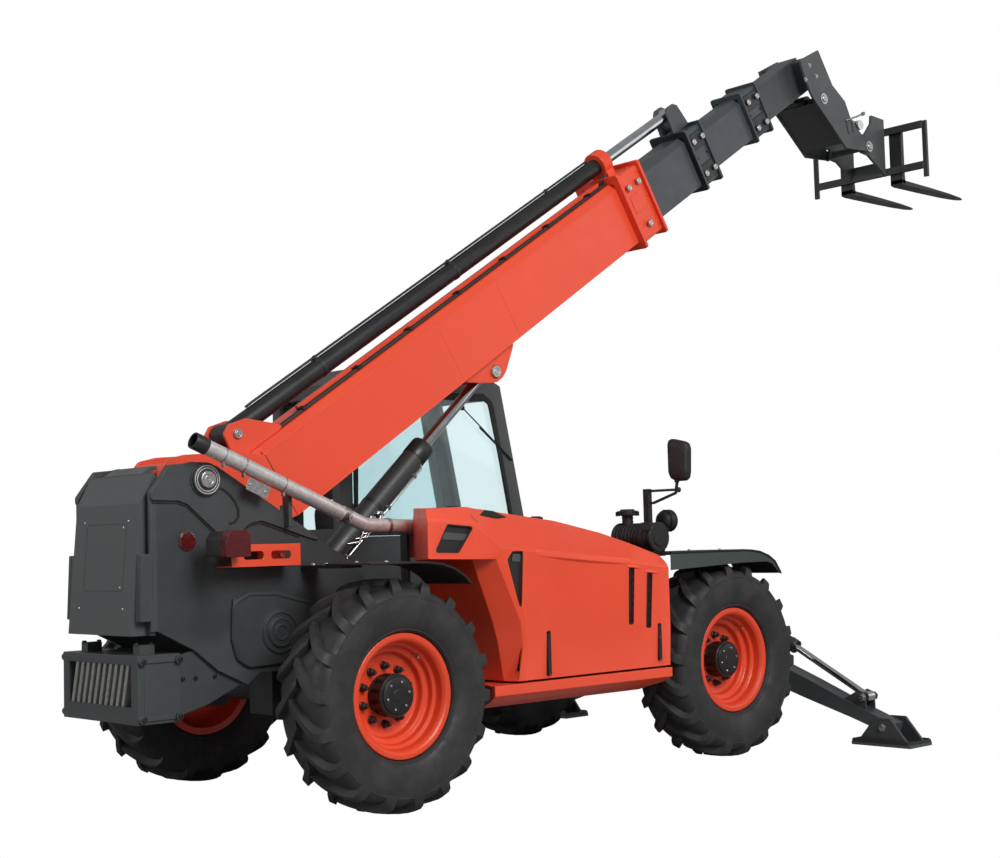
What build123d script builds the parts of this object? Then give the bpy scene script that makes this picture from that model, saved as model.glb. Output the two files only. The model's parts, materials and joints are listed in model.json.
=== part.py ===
from build123d import *
import os
from math import atan2, cos, degrees, hypot, radians, sin

# Telehandler with a four-section boom, parked on its wheels with both stabilizers let down.
# Frame: +X forward, +Y to the vehicle's left, +Z up, ground at z = 0, millimetres.
# The origin lies on the ground at the middle of the whole length and width.

# ---------------------------------------------------------------- driving sizes
WHEELBASE = 2800
REAR_X = -3055                      # rear axle
FRONT_X = REAR_X + WHEELBASE        # front axle
TYRE_R = 631                        # 15.5/80-24 tyre, to the lug tips
TYRE_W = 394
RIM_R = 338                         # rim flange
HUB_Y = 975                         # wheel centre, half the track
KINGPIN_Y = 790
TAIL_X = -4245                      # rearmost face
FRAME_Y = 400                       # outer face of the frame's side plates
PLATE = 25

BOOM_ANGLE = 32.5                   # boom's slope as it stands
PIVOT = (-3825, 1822)               # boom pivot, X and Z

STABILIZER_X = 795
LEG_HINGE = (500, 520)              # distance from the middle plane, and Z
FOOT_PIN = (1601, 130)
STAB_CYLINDER_FOOT = (300, 930)

TILT_PIN = (2924, 4704)             # carriage hinge on the boom head, X and Z
TILT_FOOT = (2300, 5010)            # tilt cylinder's fixed end
TILT_EYE = (3085, 4955)             # tilt cylinder's rod eye on the hitch
LIFT_PIN = (-1382, 2567)            # lift cylinder's rod eye on the boom
LIFT_FOOT = (-3055, 1040)           # lift cylinder's lower end in the frame

SIDES = (("right", -1), ("left", 1))
AXLES = (("front", FRONT_X), ("rear", REAR_X))


# ---------------------------------------------------------------- planes and outlines
def upright(y):
    """Side-view plane at this y: its x is X, its y is Z, and it faces the vehicle's right."""
    return Plane(origin=(0, y, 0), x_dir=(1, 0, 0), z_dir=(0, -1, 0))


def across(x):
    """Rear-view plane at this x: its x is Y, its y is Z, and it faces forward."""
    return Plane(origin=(x, 0, 0), x_dir=(0, 1, 0), z_dir=(1, 0, 0))


def boom_view(y):
    """Side-view plane along the boom from its pivot: x runs up the boom, y square to it."""
    a = radians(BOOM_ANGLE)
    return Plane(origin=(PIVOT[0], y, PIVOT[1]), x_dir=(cos(a), 0, sin(a)), z_dir=(0, -1, 0))


def distance(start, end):
    return hypot(end[0] - start[0], end[1] - start[1])


def outline(points):
    """A closed face through these corners, in the sketch being built."""
    Polygon(*points, align=None)


def slab(plane, points, thick, mode=Mode.ADD):
    """A slab of this thickness with the plane at its middle, in the part being built."""
    corners = [plane.from_local_coords(Vector(*point, 0)) for point in points]
    extrude(Face(Wire.make_polygon(corners, close=True)), amount=thick / 2, both=True, mode=mode)


def save(piece, name):
    piece.part.label = name
    export_step(piece.part, f"parts/{name}.step")


os.makedirs("parts", exist_ok=True)

# ---------------------------------------------------------------- frame
# Side plate corners: X, Z. The tower at the rear carries the boom pivot.
SIDE_PLATE = [
    (-4120, 1020), (-4120, 1755), (-4010, 1895), (-3900, 1920), (-3830, 1915),
    (-2850, 1365), (-2480, 980), (240, 900), (600, 765), (900, 765),
    (900, 470), (-60, 470), (-60, 760), (-450, 760), (-450, 470), (-2350, 470), (-2500, 740), (-3480, 760),
    (-3560, 700), (-3750, 790), (-3900, 910),
]
with BuildPart() as chassis_frame:
    for side in (-1, 1):
        with BuildSketch(upright(side * (FRAME_Y - PLATE / 2))):
            outline(SIDE_PLATE)
        extrude(amount=PLATE / 2, both=True)
    # cross members: X, Z, length, height
    for x, z, length, height in (
        (-3870, 1130, 500, 220), (-1900, 620, 300, 200), (-900, 620, 300, 200), (-255, 840, 300, 100),
        (80, 600, 160, 200), (700, 640, 340, 260),
    ):
        with Locations((x, 0, z)):
            Box(length, 2 * (FRAME_Y - PLATE), height)
    for side in (-1, 1):
        # boxes over the rear axle, with the lift cylinder's channel between them
        with Locations((-3055, side * 240, 870)):
            Box(620, 2 * (FRAME_Y - PLATE - 240), 160)
        # plate that holds the lift cylinder's foot pin
        with Locations((-3055, side * 115, 990)):
            Box(220, 20, 240)
        # shallow cover on the side plate ahead of the rear wheel
        with Locations((-3500, side * (FRAME_Y + 8), 1050)):
            Box(320, 16, 240)
        # boom pivot pin and its boss
        with Locations(Location((PIVOT[0], side * (FRAME_Y - PLATE / 2 + 10), PIVOT[1]), (90, 0, 0))):
            Cylinder(95, PLATE + 20)
    with Locations(Location((PIVOT[0], 0, PIVOT[1]), (90, 0, 0))):
        Cylinder(50, 2 * FRAME_Y + 60)
save(chassis_frame, "chassis_frame")

# ---------------------------------------------------------------- counterweight
PANEL_HALF = 340
with BuildPart() as counterweight:
    with BuildSketch(upright(0)):
        outline([(-4150, 1000), (-4120, 1700), (-4060, 1480), (-3830, 1480), (-3700, 1360), (-3700, 1240),
                 (-4120, 1240), (-4120, 1000)])
    extrude(amount=FRAME_Y - PLATE, both=True)
    with BuildSketch(upright(0)):
        outline([(TAIL_X, 1000), (TAIL_X + 60, 1700), (-4100, 1860), (-4060, 1820), (-4120, 1700), (-4120, 1000)])
    extrude(amount=PANEL_HALF, both=True)
    with BuildSketch(upright(0)):
        outline([(-4098, 1862), (-4030, 1905), (-3995, 1905), (-3995, 1885), (-4025, 1885), (-4060, 1822)])
    extrude(amount=200, both=True)
save(counterweight, "counterweight")

with BuildPart() as rear_grille:
    with Locations((TAIL_X + 130, 0, 720)):
        Box(260, 800, 360)
    # arms that carry it on the side plates
    for side in (-1, 1):
        with BuildSketch(upright(side * 363)):
            outline([(-4000, 560), (-4000, 880), (-3905, 905), (-3600, 860), (-3560, 760)])
        extrude(amount=12, both=True)
save(rear_grille, "rear_grille")

# ---------------------------------------------------------------- axles, knuckles, wheels
for axle, x in AXLES:
    with BuildPart() as beam:
        with Locations(Location((x, 0, TYRE_R), (90, 0, 0))):
            Cylinder(95, 2 * 700)
        with Locations((x, 0, TYRE_R)):
            Box(300, 230, 300)
        for side in (-1, 1):
            # yoke with the two kingpins
            with BuildSketch(across(x)):
                outline([(side * 680, TYRE_R - 150), (side * 680, TYRE_R + 150), (side * 830, TYRE_R + 150),
                         (side * 830, TYRE_R + 110), (side * 720, TYRE_R + 110), (side * 720, TYRE_R - 110),
                         (side * 830, TYRE_R - 110), (side * 830, TYRE_R - 150)])
            extrude(amount=70, both=True)
            # pad under the frame
            with Locations((x, side * 320, (TYRE_R + 790) / 2)):
                Box(180, 80, 790 - TYRE_R)
    save(beam, f"{axle}_axle")

    for side_name, side in SIDES:
        y = side * KINGPIN_Y
        with BuildPart() as knuckle:
            with Locations((x, y, TYRE_R)):
                Cylinder(45, 210)
            with Locations(Location((x, side * (KINGPIN_Y + 60), TYRE_R), (90, 0, 0))):
                Cylinder(95, 120)
            with Locations(Location((x, side * (KINGPIN_Y + 123), TYRE_R), (90, 0, 0))):
                Cylinder(60, 80)
        save(knuckle, f"{axle}_{side_name}_knuckle")

        with BuildPart() as rim:
            # half-section: distance from the hub's middle plane outwards, radius
            with BuildSketch(Plane(origin=(x, side * HUB_Y, TYRE_R), x_dir=(0, side, 0), z_dir=(side, 0, 0))):
                outline([(-150, 296), (-150, RIM_R), (-138, RIM_R), (-138, 306), (138, 306), (138, RIM_R),
                         (150, RIM_R), (150, 296), (60, 280), (20, 240), (-20, 200), (-20, 62), (-34, 62),
                         (-34, 210), (0, 290), (-60, 296)])
            revolve(axis=Axis((x, 0, TYRE_R), (0, 1, 0)))
            with Locations(Location((x, side * (HUB_Y + 36.5), TYRE_R), (90, 0, 0))):
                Cylinder(112, 113)
        save(rim, f"{axle}_{side_name}_rim")

        with BuildPart() as tyre:
            with BuildSketch(Plane(origin=(x, side * HUB_Y, TYRE_R), x_dir=(0, side, 0), z_dir=(side, 0, 0))):
                outline([(-136, 307), (-136, 340), (-190, 420), (-197, 480), (-185, 585), (-165, 615), (-100, 631),
                         (100, 631), (165, 615), (185, 585), (197, 480), (190, 420), (136, 340), (136, 307)])
            revolve(axis=Axis((x, 0, TYRE_R), (0, 1, 0)))
        save(tyre, f"{axle}_{side_name}_tyre")

# ---------------------------------------------------------------- mudguards
with BuildPart() as mudguards:
    for axle, x in AXLES:
        for side_name, side in SIDES:
            start = -250 if axle == "rear" else -670
            with BuildSketch(upright(side * HUB_Y)):
                outline([(x + start, 1352), (x + 150, 1352), (x + 330, 1310), (x + 480, 1215),
                         (x + 473, 1205), (x + 325, 1298), (x + 148, 1340), (x + start, 1340)])
            extrude(amount=195, both=True)
            with Locations((x - 80, side * (FRAME_Y + 200), 1330)):
                Box(120, 400, 20)
            if axle == "front":
                with Locations((x - 80, side * (FRAME_Y + 10), 1100)):
                    Box(120, 20, 480)
save(mudguards, "mudguards")

# ---------------------------------------------------------------- engine and pod on the right
with BuildPart() as engine_block:
    with Locations((-1640, -790, 903)):
        Box(900, 420, 510)
save(engine_block, "engine_block")

POD_Y = -1165                        # outer face
POD_IN = -560                        # inner edge of the hood
with BuildPart() as pod_frame:
    # sill beam, bevelled underneath
    with BuildSketch(across(-2290)):
        outline([(-FRAME_Y, 470), (-950, 470), (POD_Y + 10, 560), (POD_Y + 10, 632), (-FRAME_Y, 632)])
    extrude(amount=1290)
    # inner wall the hood closes on
    with BuildSketch(upright(POD_IN + 10)):
        outline([(-2130, 632), (-1020, 632), (-1020, 1270), (-1310, 1400), (-1810, 1505), (-2260, 1580),
                 (-2500, 1608), (-2500, 1400), (-2400, 1400)])
    extrude(amount=6, both=True)
    # mounts under the block
    for x in (-1950, -1350):
        with Locations((x, -790, 640)):
            Box(80, 300, 16)
    # post for the air cleaner
    with Locations((-980, -420, 1060)):
        Box(40, 40, 720)
    with Locations((-980, -488, 1410)):
        Box(40, 174, 20)
save(pod_frame, "pod_frame")

# Hood side outline: X, Z
HOOD = [(-2890, 1362), (-2400, 1362), (-2150, 640), (-1010, 640), (-1000, 1290), (-1300, 1425),
        (-1800, 1530), (-2250, 1605), (-2500, 1635), (-2860, 1640)]
HOOD_INNER = [(-2874, 1376), (-2389, 1376), (-2132, 600), (-1024, 600), (-1014, 1281), (-1304, 1411),
              (-1804, 1516), (-2254, 1591), (-2500, 1621), (-2846, 1626)]
with BuildPart() as hood:
    with BuildSketch(upright(POD_Y)):
        outline(HOOD)
    extrude(amount=-(POD_IN - POD_Y))
    with BuildSketch(upright(POD_Y + 14)):
        outline(HOOD_INNER)
    extrude(amount=-900, mode=Mode.SUBTRACT)
save(hood, "engine_hood")

# ---------------------------------------------------------------- exhaust
EXHAUST_Y = -500
with BuildPart() as exhaust:
    with BuildLine():
        FilletPolyline((-2311, EXHAUST_Y, 1542), (-2804, EXHAUST_Y, 1561), (-3953, EXHAUST_Y, 2029), radius=150)
    with BuildSketch(Plane(origin=(-2311, EXHAUST_Y, 1542), z_dir=(-493, 0, 19))):
        Circle(42)
        Circle(39, mode=Mode.SUBTRACT)
    sweep()
    for x, low, high in ((-3300, 1560, 1790), (-2450, 1110, 1550)):
        with Locations((x, (EXHAUST_Y + 40 - FRAME_Y) / 2, (low + high) / 2)):
            Box(60, -FRAME_Y - EXHAUST_Y - 40, high - low)
save(exhaust, "exhaust_pipe")

# ---------------------------------------------------------------- air cleaner, mirror, lamp
with BuildPart() as air_cleaner:
    with Locations(Location((-880, -670, 1420), (0, 90, 0))):
        Cylinder(95, 240)
    with Locations((-920, -670, 1550)):
        Cylinder(28, 120)
    with Locations((-920, -670, 1610)):
        Cylinder(75, 40)
save(air_cleaner, "air_cleaner")

with BuildPart() as mirror:
    with Locations((-880, -860, 1616)):
        Box(30, 30, 528)
    with Locations((-810, -860, 1870)):
        Box(170, 20, 20)
    with Locations((-700, -860, 1925)):
        Box(60, 190, 290)
save(mirror, "mirror")

with BuildPart() as work_lamp:
    with Locations(Location((-680, -670, 1500), (0, 90, 0))):
        Cylinder(65, 80)
    with Locations((-735, -670, 1460)):
        Box(50, 30, 30)
save(work_lamp, "work_lamp")

# ---------------------------------------------------------------- tail lamps
with BuildPart() as lamp_brackets:
    for side in (-1, 1):
        with Locations((-3440, side * 470, 1405)):
            Box(680, 6, 130)
        for z in (1343, 1467):
            with Locations((-3440, side * (FRAME_Y + 165), z)):
                Box(680, 330, 6)
save(lamp_brackets, "lamp_brackets")

with BuildPart() as tail_lamps:
    for side in (-1, 1):
        with Locations((-3815, side * 620, 1440)):
            Box(70, 230, 130)
save(tail_lamps, "tail_lamps")

# ---------------------------------------------------------------- cab on the left
CAB_IN, CAB_OUT = 420, 1150
# Side outline: X, Z
CAB = [(-2270, 640), (-1080, 640), (-1040, 1395), (-640, 1400), (-620, 1480), (-850, 2540),
       (-980, 2600), (-2160, 2600), (-2290, 2500)]
CAB_INNER = [(-2230, 680), (-1118, 680), (-1076, 1437), (-672, 1440), (-668, 1478), (-886, 2510),
             (-996, 2560), (-2145, 2560), (-2248, 2482)]
with BuildPart() as cab_shell:
    with BuildSketch(upright(CAB_IN)):
        outline(CAB)
    extrude(amount=-(CAB_OUT - CAB_IN))
    with BuildSketch(upright(CAB_IN + 40)):
        outline(CAB_INNER)
    extrude(amount=-(CAB_OUT - CAB_IN - 80), mode=Mode.SUBTRACT)
    # side windows and the doorway: X, Z
    with BuildSketch(upright(CAB_IN - 10)):
        outline([(-2180, 1500), (-740, 1500), (-930, 2430), (-1010, 2480), (-2090, 2480), (-2180, 2380)])
    extrude(amount=-60, mode=Mode.SUBTRACT)
    with BuildSketch(upright(CAB_OUT + 10)):
        outline([(-2140, 700), (-1170, 700), (-1130, 1500), (-745, 1500), (-930, 2430), (-1010, 2480), (-2140, 2480)])
    extrude(amount=60, mode=Mode.SUBTRACT)
    # windscreen, rear window and roof window
    with BuildSketch(across(-400)):
        with Locations(((CAB_IN + CAB_OUT) / 2, 1985)):
            Rectangle(CAB_OUT - CAB_IN - 160, 930)
    extrude(amount=-700, mode=Mode.SUBTRACT)
    with BuildSketch(across(-2100)):
        with Locations(((CAB_IN + CAB_OUT) / 2, 1985)):
            Rectangle(CAB_OUT - CAB_IN - 160, 860)
    extrude(amount=-400, mode=Mode.SUBTRACT)
    # beams that carry the cab on the frame
    for x in (-2100, -1250):
        with Locations((x, 410, 700)):
            Box(120, 20, 80)
save(cab_shell, "cab_shell")

with BuildPart() as cab_glass:
    with BuildSketch(upright(CAB_IN + 14)):
        outline([(-2180, 1500), (-740, 1500), (-930, 2430), (-1010, 2480), (-2090, 2480), (-2180, 2380)])
    extrude(amount=-6)
save(cab_glass, "cab_glass")

with BuildPart() as cab_door:
    with BuildSketch(upright(CAB_OUT - 4)):
        outline([(-2134, 706), (-1176, 706), (-1136, 1506), (-753, 1506), (-934, 2426), (-1012, 2474), (-2134, 2474)])
    extrude(amount=30)
    with BuildSketch(upright(CAB_OUT)):
        outline([(-2070, 1500), (-1110, 1500), (-820, 1560), (-985, 2380), (-1030, 2414), (-2070, 2414)])
    extrude(amount=40, mode=Mode.SUBTRACT)
save(cab_door, "cab_door")

with BuildPart() as cab_door_glass:
    with BuildSketch(upright(CAB_OUT - 14)):
        outline([(-2070, 1500), (-1110, 1500), (-820, 1560), (-985, 2380), (-1030, 2414), (-2070, 2414)])
    extrude(amount=6)
save(cab_door_glass, "cab_door_glass")

with BuildPart() as seat:
    with Locations((-1830, 785, 890)):
        Box(380, 360, 400)
    with Locations((-1810, 785, 1140)):
        Box(480, 460, 100)
    with Locations((-2030, 785, 1460)):
        Box(110, 440, 540)
save(seat, "operator_seat")

with BuildPart() as steering_column:
    with BuildSketch(upright(785)):
        outline([(-1230, 680), (-1120, 690), (-1250, 1420), (-1320, 1410)])
    extrude(amount=60, both=True)
    with Locations(Location((-1330, 785, 1450), (0, -20, 0))):
        Torus(185, 15)
        Cylinder(30, 60)
        Box(360, 20, 16)
save(steering_column, "steering_column")

# ---------------------------------------------------------------- stabilizers
FOOT_EYE = (1430, 318)               # rod eye, distance from the middle plane, and Z
with BuildPart() as stabilizer_frame:
    for side in (-1, 1):
        for x in (STABILIZER_X - 135, STABILIZER_X + 135):
            with BuildSketch(across(x)):
                outline([(side * FRAME_Y, 440), (side * 575, 440), (side * 575, 600), (side * 500, 700),
                         (side * 380, 1010), (side * 240, 1010), (side * 240, 800), (side * FRAME_Y, 800)])
            extrude(amount=12, both=True)
        for y, z in (LEG_HINGE, STAB_CYLINDER_FOOT):
            with Locations(Location((STABILIZER_X, side * y, z), (0, 90, 0))):
                Cylinder(22, 300)
save(stabilizer_frame, "stabilizer_frame")

leg_run = distance(LEG_HINGE, FOOT_PIN)
stab_run = distance(STAB_CYLINDER_FOOT, FOOT_EYE)
for side_name, side in SIDES:
    leg_plane = Plane(origin=(STABILIZER_X, side * LEG_HINGE[0], LEG_HINGE[1]),
                      x_dir=(0, side * (FOOT_PIN[0] - LEG_HINGE[0]), FOOT_PIN[1] - LEG_HINGE[1]),
                      z_dir=(side, 0, 0))
    with BuildPart() as leg:
        with BuildSketch(leg_plane):
            outline([(-65, -50), (60, -78), (500, -66), (900, -46), (leg_run + 45, -40),
                     (leg_run + 45, 40), (900, 46), (500, 66), (60, 78), (-65, 50)])
            Circle(23, mode=Mode.SUBTRACT)
            with Locations((leg_run, 0)):
                Circle(19, mode=Mode.SUBTRACT)
        extrude(amount=70, both=True)
        # lugs either side of the cylinder's rod eye
        with BuildSketch(leg_plane.offset(-58)):
            outline([(800, 46), (990, 44), (950, 150), (890, 150)])
        extrude(amount=12)
        with BuildSketch(leg_plane.offset(46)):
            outline([(800, 46), (990, 44), (950, 150), (890, 150)])
        extrude(amount=12)
    save(leg, f"{side_name}_stabilizer_leg")

    with BuildPart() as foot:
        for x in (STABILIZER_X - 92, STABILIZER_X + 92):
            with BuildSketch(across(x)):
                outline([(side * (FOOT_PIN[0] - 200), 24), (side * (FOOT_PIN[0] + 200), 24),
                         (side * (FOOT_PIN[0] + 60), 190), (side * (FOOT_PIN[0] - 60), 190)])
            extrude(amount=10, both=True)
        with Locations((STABILIZER_X, side * FOOT_PIN[0], 14)):
            Box(260, 460, 20)
        with Locations(Location((STABILIZER_X, side * FOOT_PIN[0], FOOT_PIN[1]), (0, 90, 0))):
            Cylinder(18, 200)
    save(foot, f"{side_name}_stabilizer_foot")

    cyl_plane = Plane(origin=(STABILIZER_X, side * STAB_CYLINDER_FOOT[0], STAB_CYLINDER_FOOT[1]), x_dir=(1, 0, 0),
                      z_dir=(0, side * (FOOT_EYE[0] - STAB_CYLINDER_FOOT[0]), FOOT_EYE[1] - STAB_CYLINDER_FOOT[1]))
    with BuildPart() as barrel:
        with BuildSketch(cyl_plane):
            Circle(45)
        extrude(amount=620)
        with Locations(Location((STABILIZER_X, side * STAB_CYLINDER_FOOT[0], STAB_CYLINDER_FOOT[1]), (0, 90, 0))):
            Cylinder(48, 80)
            Cylinder(23, 100, mode=Mode.SUBTRACT)
        with BuildSketch(cyl_plane.offset(50)):
            Circle(26)
        extrude(amount=600, mode=Mode.SUBTRACT)
    save(barrel, f"{side_name}_stabilizer_barrel")
    with BuildPart() as rod:
        with BuildSketch(cyl_plane.offset(440)):
            Circle(24)
        extrude(amount=stab_run - 440)
        with Locations(Location((STABILIZER_X, side * FOOT_EYE[0], FOOT_EYE[1]), (0, 90, 0))):
            Cylinder(34, 76)
    save(rod, f"{side_name}_stabilizer_rod")

# ---------------------------------------------------------------- boom
# Each section: half width, bottom, top, wall, tail, front collar's start and end, all from the pivot.


def tube(half, bottom, top, wall, tail, front):
    """A rectangular boom tube along the boom, open at both ends."""
    slab(boom_view(0), [(tail, bottom), (front, bottom), (front, top), (tail, top)], 2 * half)
    slab(boom_view(0), [(tail - 5, bottom + wall), (front + 5, bottom + wall), (front + 5, top - wall),
                        (tail - 5, top - wall)], 2 * (half - wall), Mode.SUBTRACT)


def collar(half, bottom, top, inner_half, inner_bottom, inner_top, start, end, proud):
    """A frame round the tube's front end."""
    slab(boom_view(0), [(start, bottom - proud), (end, bottom - proud), (end, top + proud), (start, top + proud)],
         2 * (half + proud))
    slab(boom_view(0), [(start - 5, inner_bottom), (end + 5, inner_bottom), (end + 5, inner_top),
                        (start - 5, inner_top)], 2 * inner_half, Mode.SUBTRACT)


with BuildPart() as boom_outer:
    tube(160, -590, -120, 12, 560, 4450)
    collar(160, -590, -120, 148, -578, -132, 4190, 4480, 40)
    # tail ears round the pivot
    for y in (-148, 148):
        with BuildSketch(boom_view(y)):
            outline([(-150, 0), (-110, -110), (330, -540), (570, -589), (570, -121), (420, -60), (110, 110),
                     (0, 150), (-110, 110)])
            with Locations((0, 0)):
                Circle(52, mode=Mode.SUBTRACT)
        extrude(amount=12, both=True)
    # extension cylinder's tail lugs
    for y in (-100, 100):
        with BuildSketch(boom_view(y)):
            outline([(400, -119), (820, -119), (600, 60), (480, 90), (420, 60)])
        extrude(amount=10, both=True)
    # bridge between the ears under the lugs
    with BuildSketch(boom_view(0)):
        outline([(400, -119), (572, -119), (572, -160), (400, -160)])
    extrude(amount=136, both=True)
    # lift cylinder lugs
    for y in (-95, 95):
        with BuildSketch(boom_view(y)):
            outline([(2150, -589), (2760, -589), (2530, -740), (2400, -740)])
        extrude(amount=14, both=True)
save(boom_outer, "boom_outer")

CYL_T = 15
with BuildPart() as extension_barrel:
    with BuildSketch(boom_view(0)):
        outline([(500, CYL_T - 60), (4350, CYL_T - 60), (4350, CYL_T + 60), (500, CYL_T + 60)])
    extrude(amount=60, both=True)
    with BuildSketch(boom_view(0)):
        outline([(620, CYL_T - 45), (4360, CYL_T - 45), (4360, CYL_T + 45), (620, CYL_T + 45)])
    extrude(amount=45, both=True, mode=Mode.SUBTRACT)
save(extension_barrel, "extension_barrel")

with BuildPart() as boom_section_2:
    tube(134, -560, -160, 10, 1250, 5300)
    collar(134, -560, -160, 124, -550, -170, 5120, 5340, 36)
    # lugs for the extension cylinder's rod
    for y in (-60, 60):
        with BuildSketch(boom_view(y)):
            outline([(5125, -125), (5335, -125), (5260, 70), (5160, 70)])
        extrude(amount=8, both=True)
save(boom_section_2, "boom_section_2")

with BuildPart() as extension_rod:
    start = boom_view(0).from_local_coords(Vector(1250, CYL_T, 0))
    a = radians(BOOM_ANGLE)
    with BuildSketch(Plane(origin=start, x_dir=(0, 1, 0), z_dir=(cos(a), 0, sin(a)))):
        Circle(42)
    extrude(amount=3960)
    with BuildSketch(boom_view(0)):
        with Locations((5210, CYL_T)):
            Circle(50)
    extrude(amount=52, both=True)
save(extension_rod, "extension_rod")

with BuildPart() as boom_section_3:
    tube(110, -530, -185, 8, 2100, 6150)
    collar(110, -530, -185, 102, -522, -193, 5945, 6190, 32)
save(boom_section_3, "boom_section_3")

HEAD = [(1991, 5277), (2244, 5407), (2426, 5145), (2596, 5037), (2665, 4911), (2884, 4740), (2960, 4720),
        (2960, 4680), (2905, 4660), (2593, 4640), (2350, 4835), (2166, 4979), (2120, 5031), (2054, 5139)]
with BuildPart() as boom_section_4:
    tube(88, -502, -212, 8, 2900, 6900)
    # head: side plates, a cheek block between each plate and the tube, and two pins
    for side in (-1, 1):
        with BuildSketch(upright(side * 205)):
            outline(HEAD)
        extrude(amount=10, both=True)
        slab(boom_view(side * 141), [(6800, -480), (6890, -480), (6890, -230), (6800, -230)], 112)
    for x, z in (TILT_PIN, TILT_FOOT):
        with Locations(Location((x, 0, z), (90, 0, 0))):
            Cylinder(28, 410)
save(boom_section_4, "boom_section_4")

# ---------------------------------------------------------------- lift cylinder
lift_run = distance(LIFT_FOOT, LIFT_PIN)
a = atan2(LIFT_PIN[1] - LIFT_FOOT[1], LIFT_PIN[0] - LIFT_FOOT[0])
lift_plane = Plane(origin=(LIFT_FOOT[0], 0, LIFT_FOOT[1]), x_dir=(0, 1, 0), z_dir=(cos(a), 0, sin(a)))
with BuildPart() as lift_barrel:
    with BuildSketch(lift_plane):
        Circle(75)
    extrude(amount=1520)
    with BuildSketch(lift_plane.offset(45)):
        Circle(37)
    extrude(amount=1500, mode=Mode.SUBTRACT)
save(lift_barrel, "lift_barrel")
with BuildPart() as lift_rod:
    with BuildSketch(lift_plane.offset(673)):
        Circle(35)
    extrude(amount=lift_run - 673 - 30)
    with Locations(Location((LIFT_PIN[0], 0, LIFT_PIN[1]), (90, 0, 0))):
        Cylinder(60, 120)
save(lift_rod, "lift_rod")

# ---------------------------------------------------------------- tilt cylinder, hitch and forks
tilt_run = distance(TILT_FOOT, TILT_EYE)
a = atan2(TILT_EYE[1] - TILT_FOOT[1], TILT_EYE[0] - TILT_FOOT[0])
tilt_plane = Plane(origin=(TILT_FOOT[0], 0, TILT_FOOT[1]), x_dir=(0, 1, 0), z_dir=(cos(a), 0, sin(a)))
with BuildPart() as tilt_barrel:
    with BuildSketch(tilt_plane):
        Circle(55)
    extrude(amount=450)
    with Locations(Location((TILT_FOOT[0], 0, TILT_FOOT[1]), (90, 0, 0))):
        Cylinder(58, 100)
        Cylinder(29, 120, mode=Mode.SUBTRACT)
    with BuildSketch(tilt_plane.offset(60)):
        Circle(28)
    extrude(amount=400, mode=Mode.SUBTRACT)
save(tilt_barrel, "tilt_barrel")
with BuildPart() as tilt_rod:
    with BuildSketch(tilt_plane.offset(220)):
        Circle(26)
    extrude(amount=tilt_run - 220)
    with Locations(Location((TILT_EYE[0], 0, TILT_EYE[1]), (90, 0, 0))):
        Cylinder(42, 60)
save(tilt_rod, "tilt_rod")

with BuildPart() as hitch:
    for side in (-1, 1):
        with BuildSketch(upright(side * 160)):
            outline([(2874, 4654), (2974, 4644), (3221, 4500), (3221, 4990), (3040, 5000), (3030, 4930), (2874, 4754)])
            with Locations(TILT_PIN):
                Circle(29, mode=Mode.SUBTRACT)
        extrude(amount=12, both=True)
    with Locations((3205, 0, 4560)):
        Box(32, 296, 120)
save(hitch, "hitch")

with BuildPart() as fork_frame:
    for y in (-560, 560):
        with Locations((3236, y, 4665)):
            Box(24, 40, 480)
    for z in (4880, 4530):
        with Locations((3236, 0, z)):
            Box(30, 1080, 60)
save(fork_frame, "fork_frame")

with BuildPart() as forks:
    for side in (-1, 1):
        with BuildSketch(upright(side * 255)):
            outline([(3252, 4400), (3252, 4915), (3292, 4915), (3292, 4442), (4280, 4412), (4280, 4400)])
        extrude(amount=60, both=True)
save(forks, "forks")
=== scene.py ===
"""Looks of the telehandler: camera, studio light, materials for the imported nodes, and the pieces that dress them.

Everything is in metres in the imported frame: +X forward, +Y to the vehicle's left, +Z up, ground at 0. Only what goes
through mm, and the profiles of lathe, disc, clamp, pin_head and bolts_at, are given in millimetres.
"""
import json
from math import cos, exp, pi, radians, sin

import bmesh
import bpy
from mathutils import Matrix, Vector


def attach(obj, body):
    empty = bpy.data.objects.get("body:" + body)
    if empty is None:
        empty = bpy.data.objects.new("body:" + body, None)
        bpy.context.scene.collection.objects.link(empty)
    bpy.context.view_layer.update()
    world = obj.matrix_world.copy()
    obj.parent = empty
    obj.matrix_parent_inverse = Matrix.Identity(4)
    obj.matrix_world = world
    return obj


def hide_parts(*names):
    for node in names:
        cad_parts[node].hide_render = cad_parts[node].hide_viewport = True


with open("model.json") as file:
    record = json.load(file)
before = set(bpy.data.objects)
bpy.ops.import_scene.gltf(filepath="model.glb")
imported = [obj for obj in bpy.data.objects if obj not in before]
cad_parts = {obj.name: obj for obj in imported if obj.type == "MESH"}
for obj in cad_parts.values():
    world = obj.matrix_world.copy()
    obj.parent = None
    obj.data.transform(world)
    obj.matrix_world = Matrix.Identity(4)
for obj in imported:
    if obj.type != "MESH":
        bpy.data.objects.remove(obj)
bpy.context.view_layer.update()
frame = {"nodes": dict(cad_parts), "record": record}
X, Y, Z = Vector((1, 0, 0)), Vector((0, 1, 0)), Vector((0, 0, 1))
SIDES = (-1, 1)  # the vehicle's right and its left


# ---------------------------------------------------------------- camera
CAMERA_AT = Vector((-8.567, -7.864, 1.45))
CAMERA_YAW = radians(47.06)          # from +X towards +Y
CAMERA_PITCH = radians(3.98)
CAMERA_ROLL = radians(-1.56)
CAMERA_LENS, CAMERA_SENSOR, CAMERA_REACH = 57.73, 36, 200


def link(thing):
    bpy.context.scene.collection.objects.link(thing)
    return thing


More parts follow.
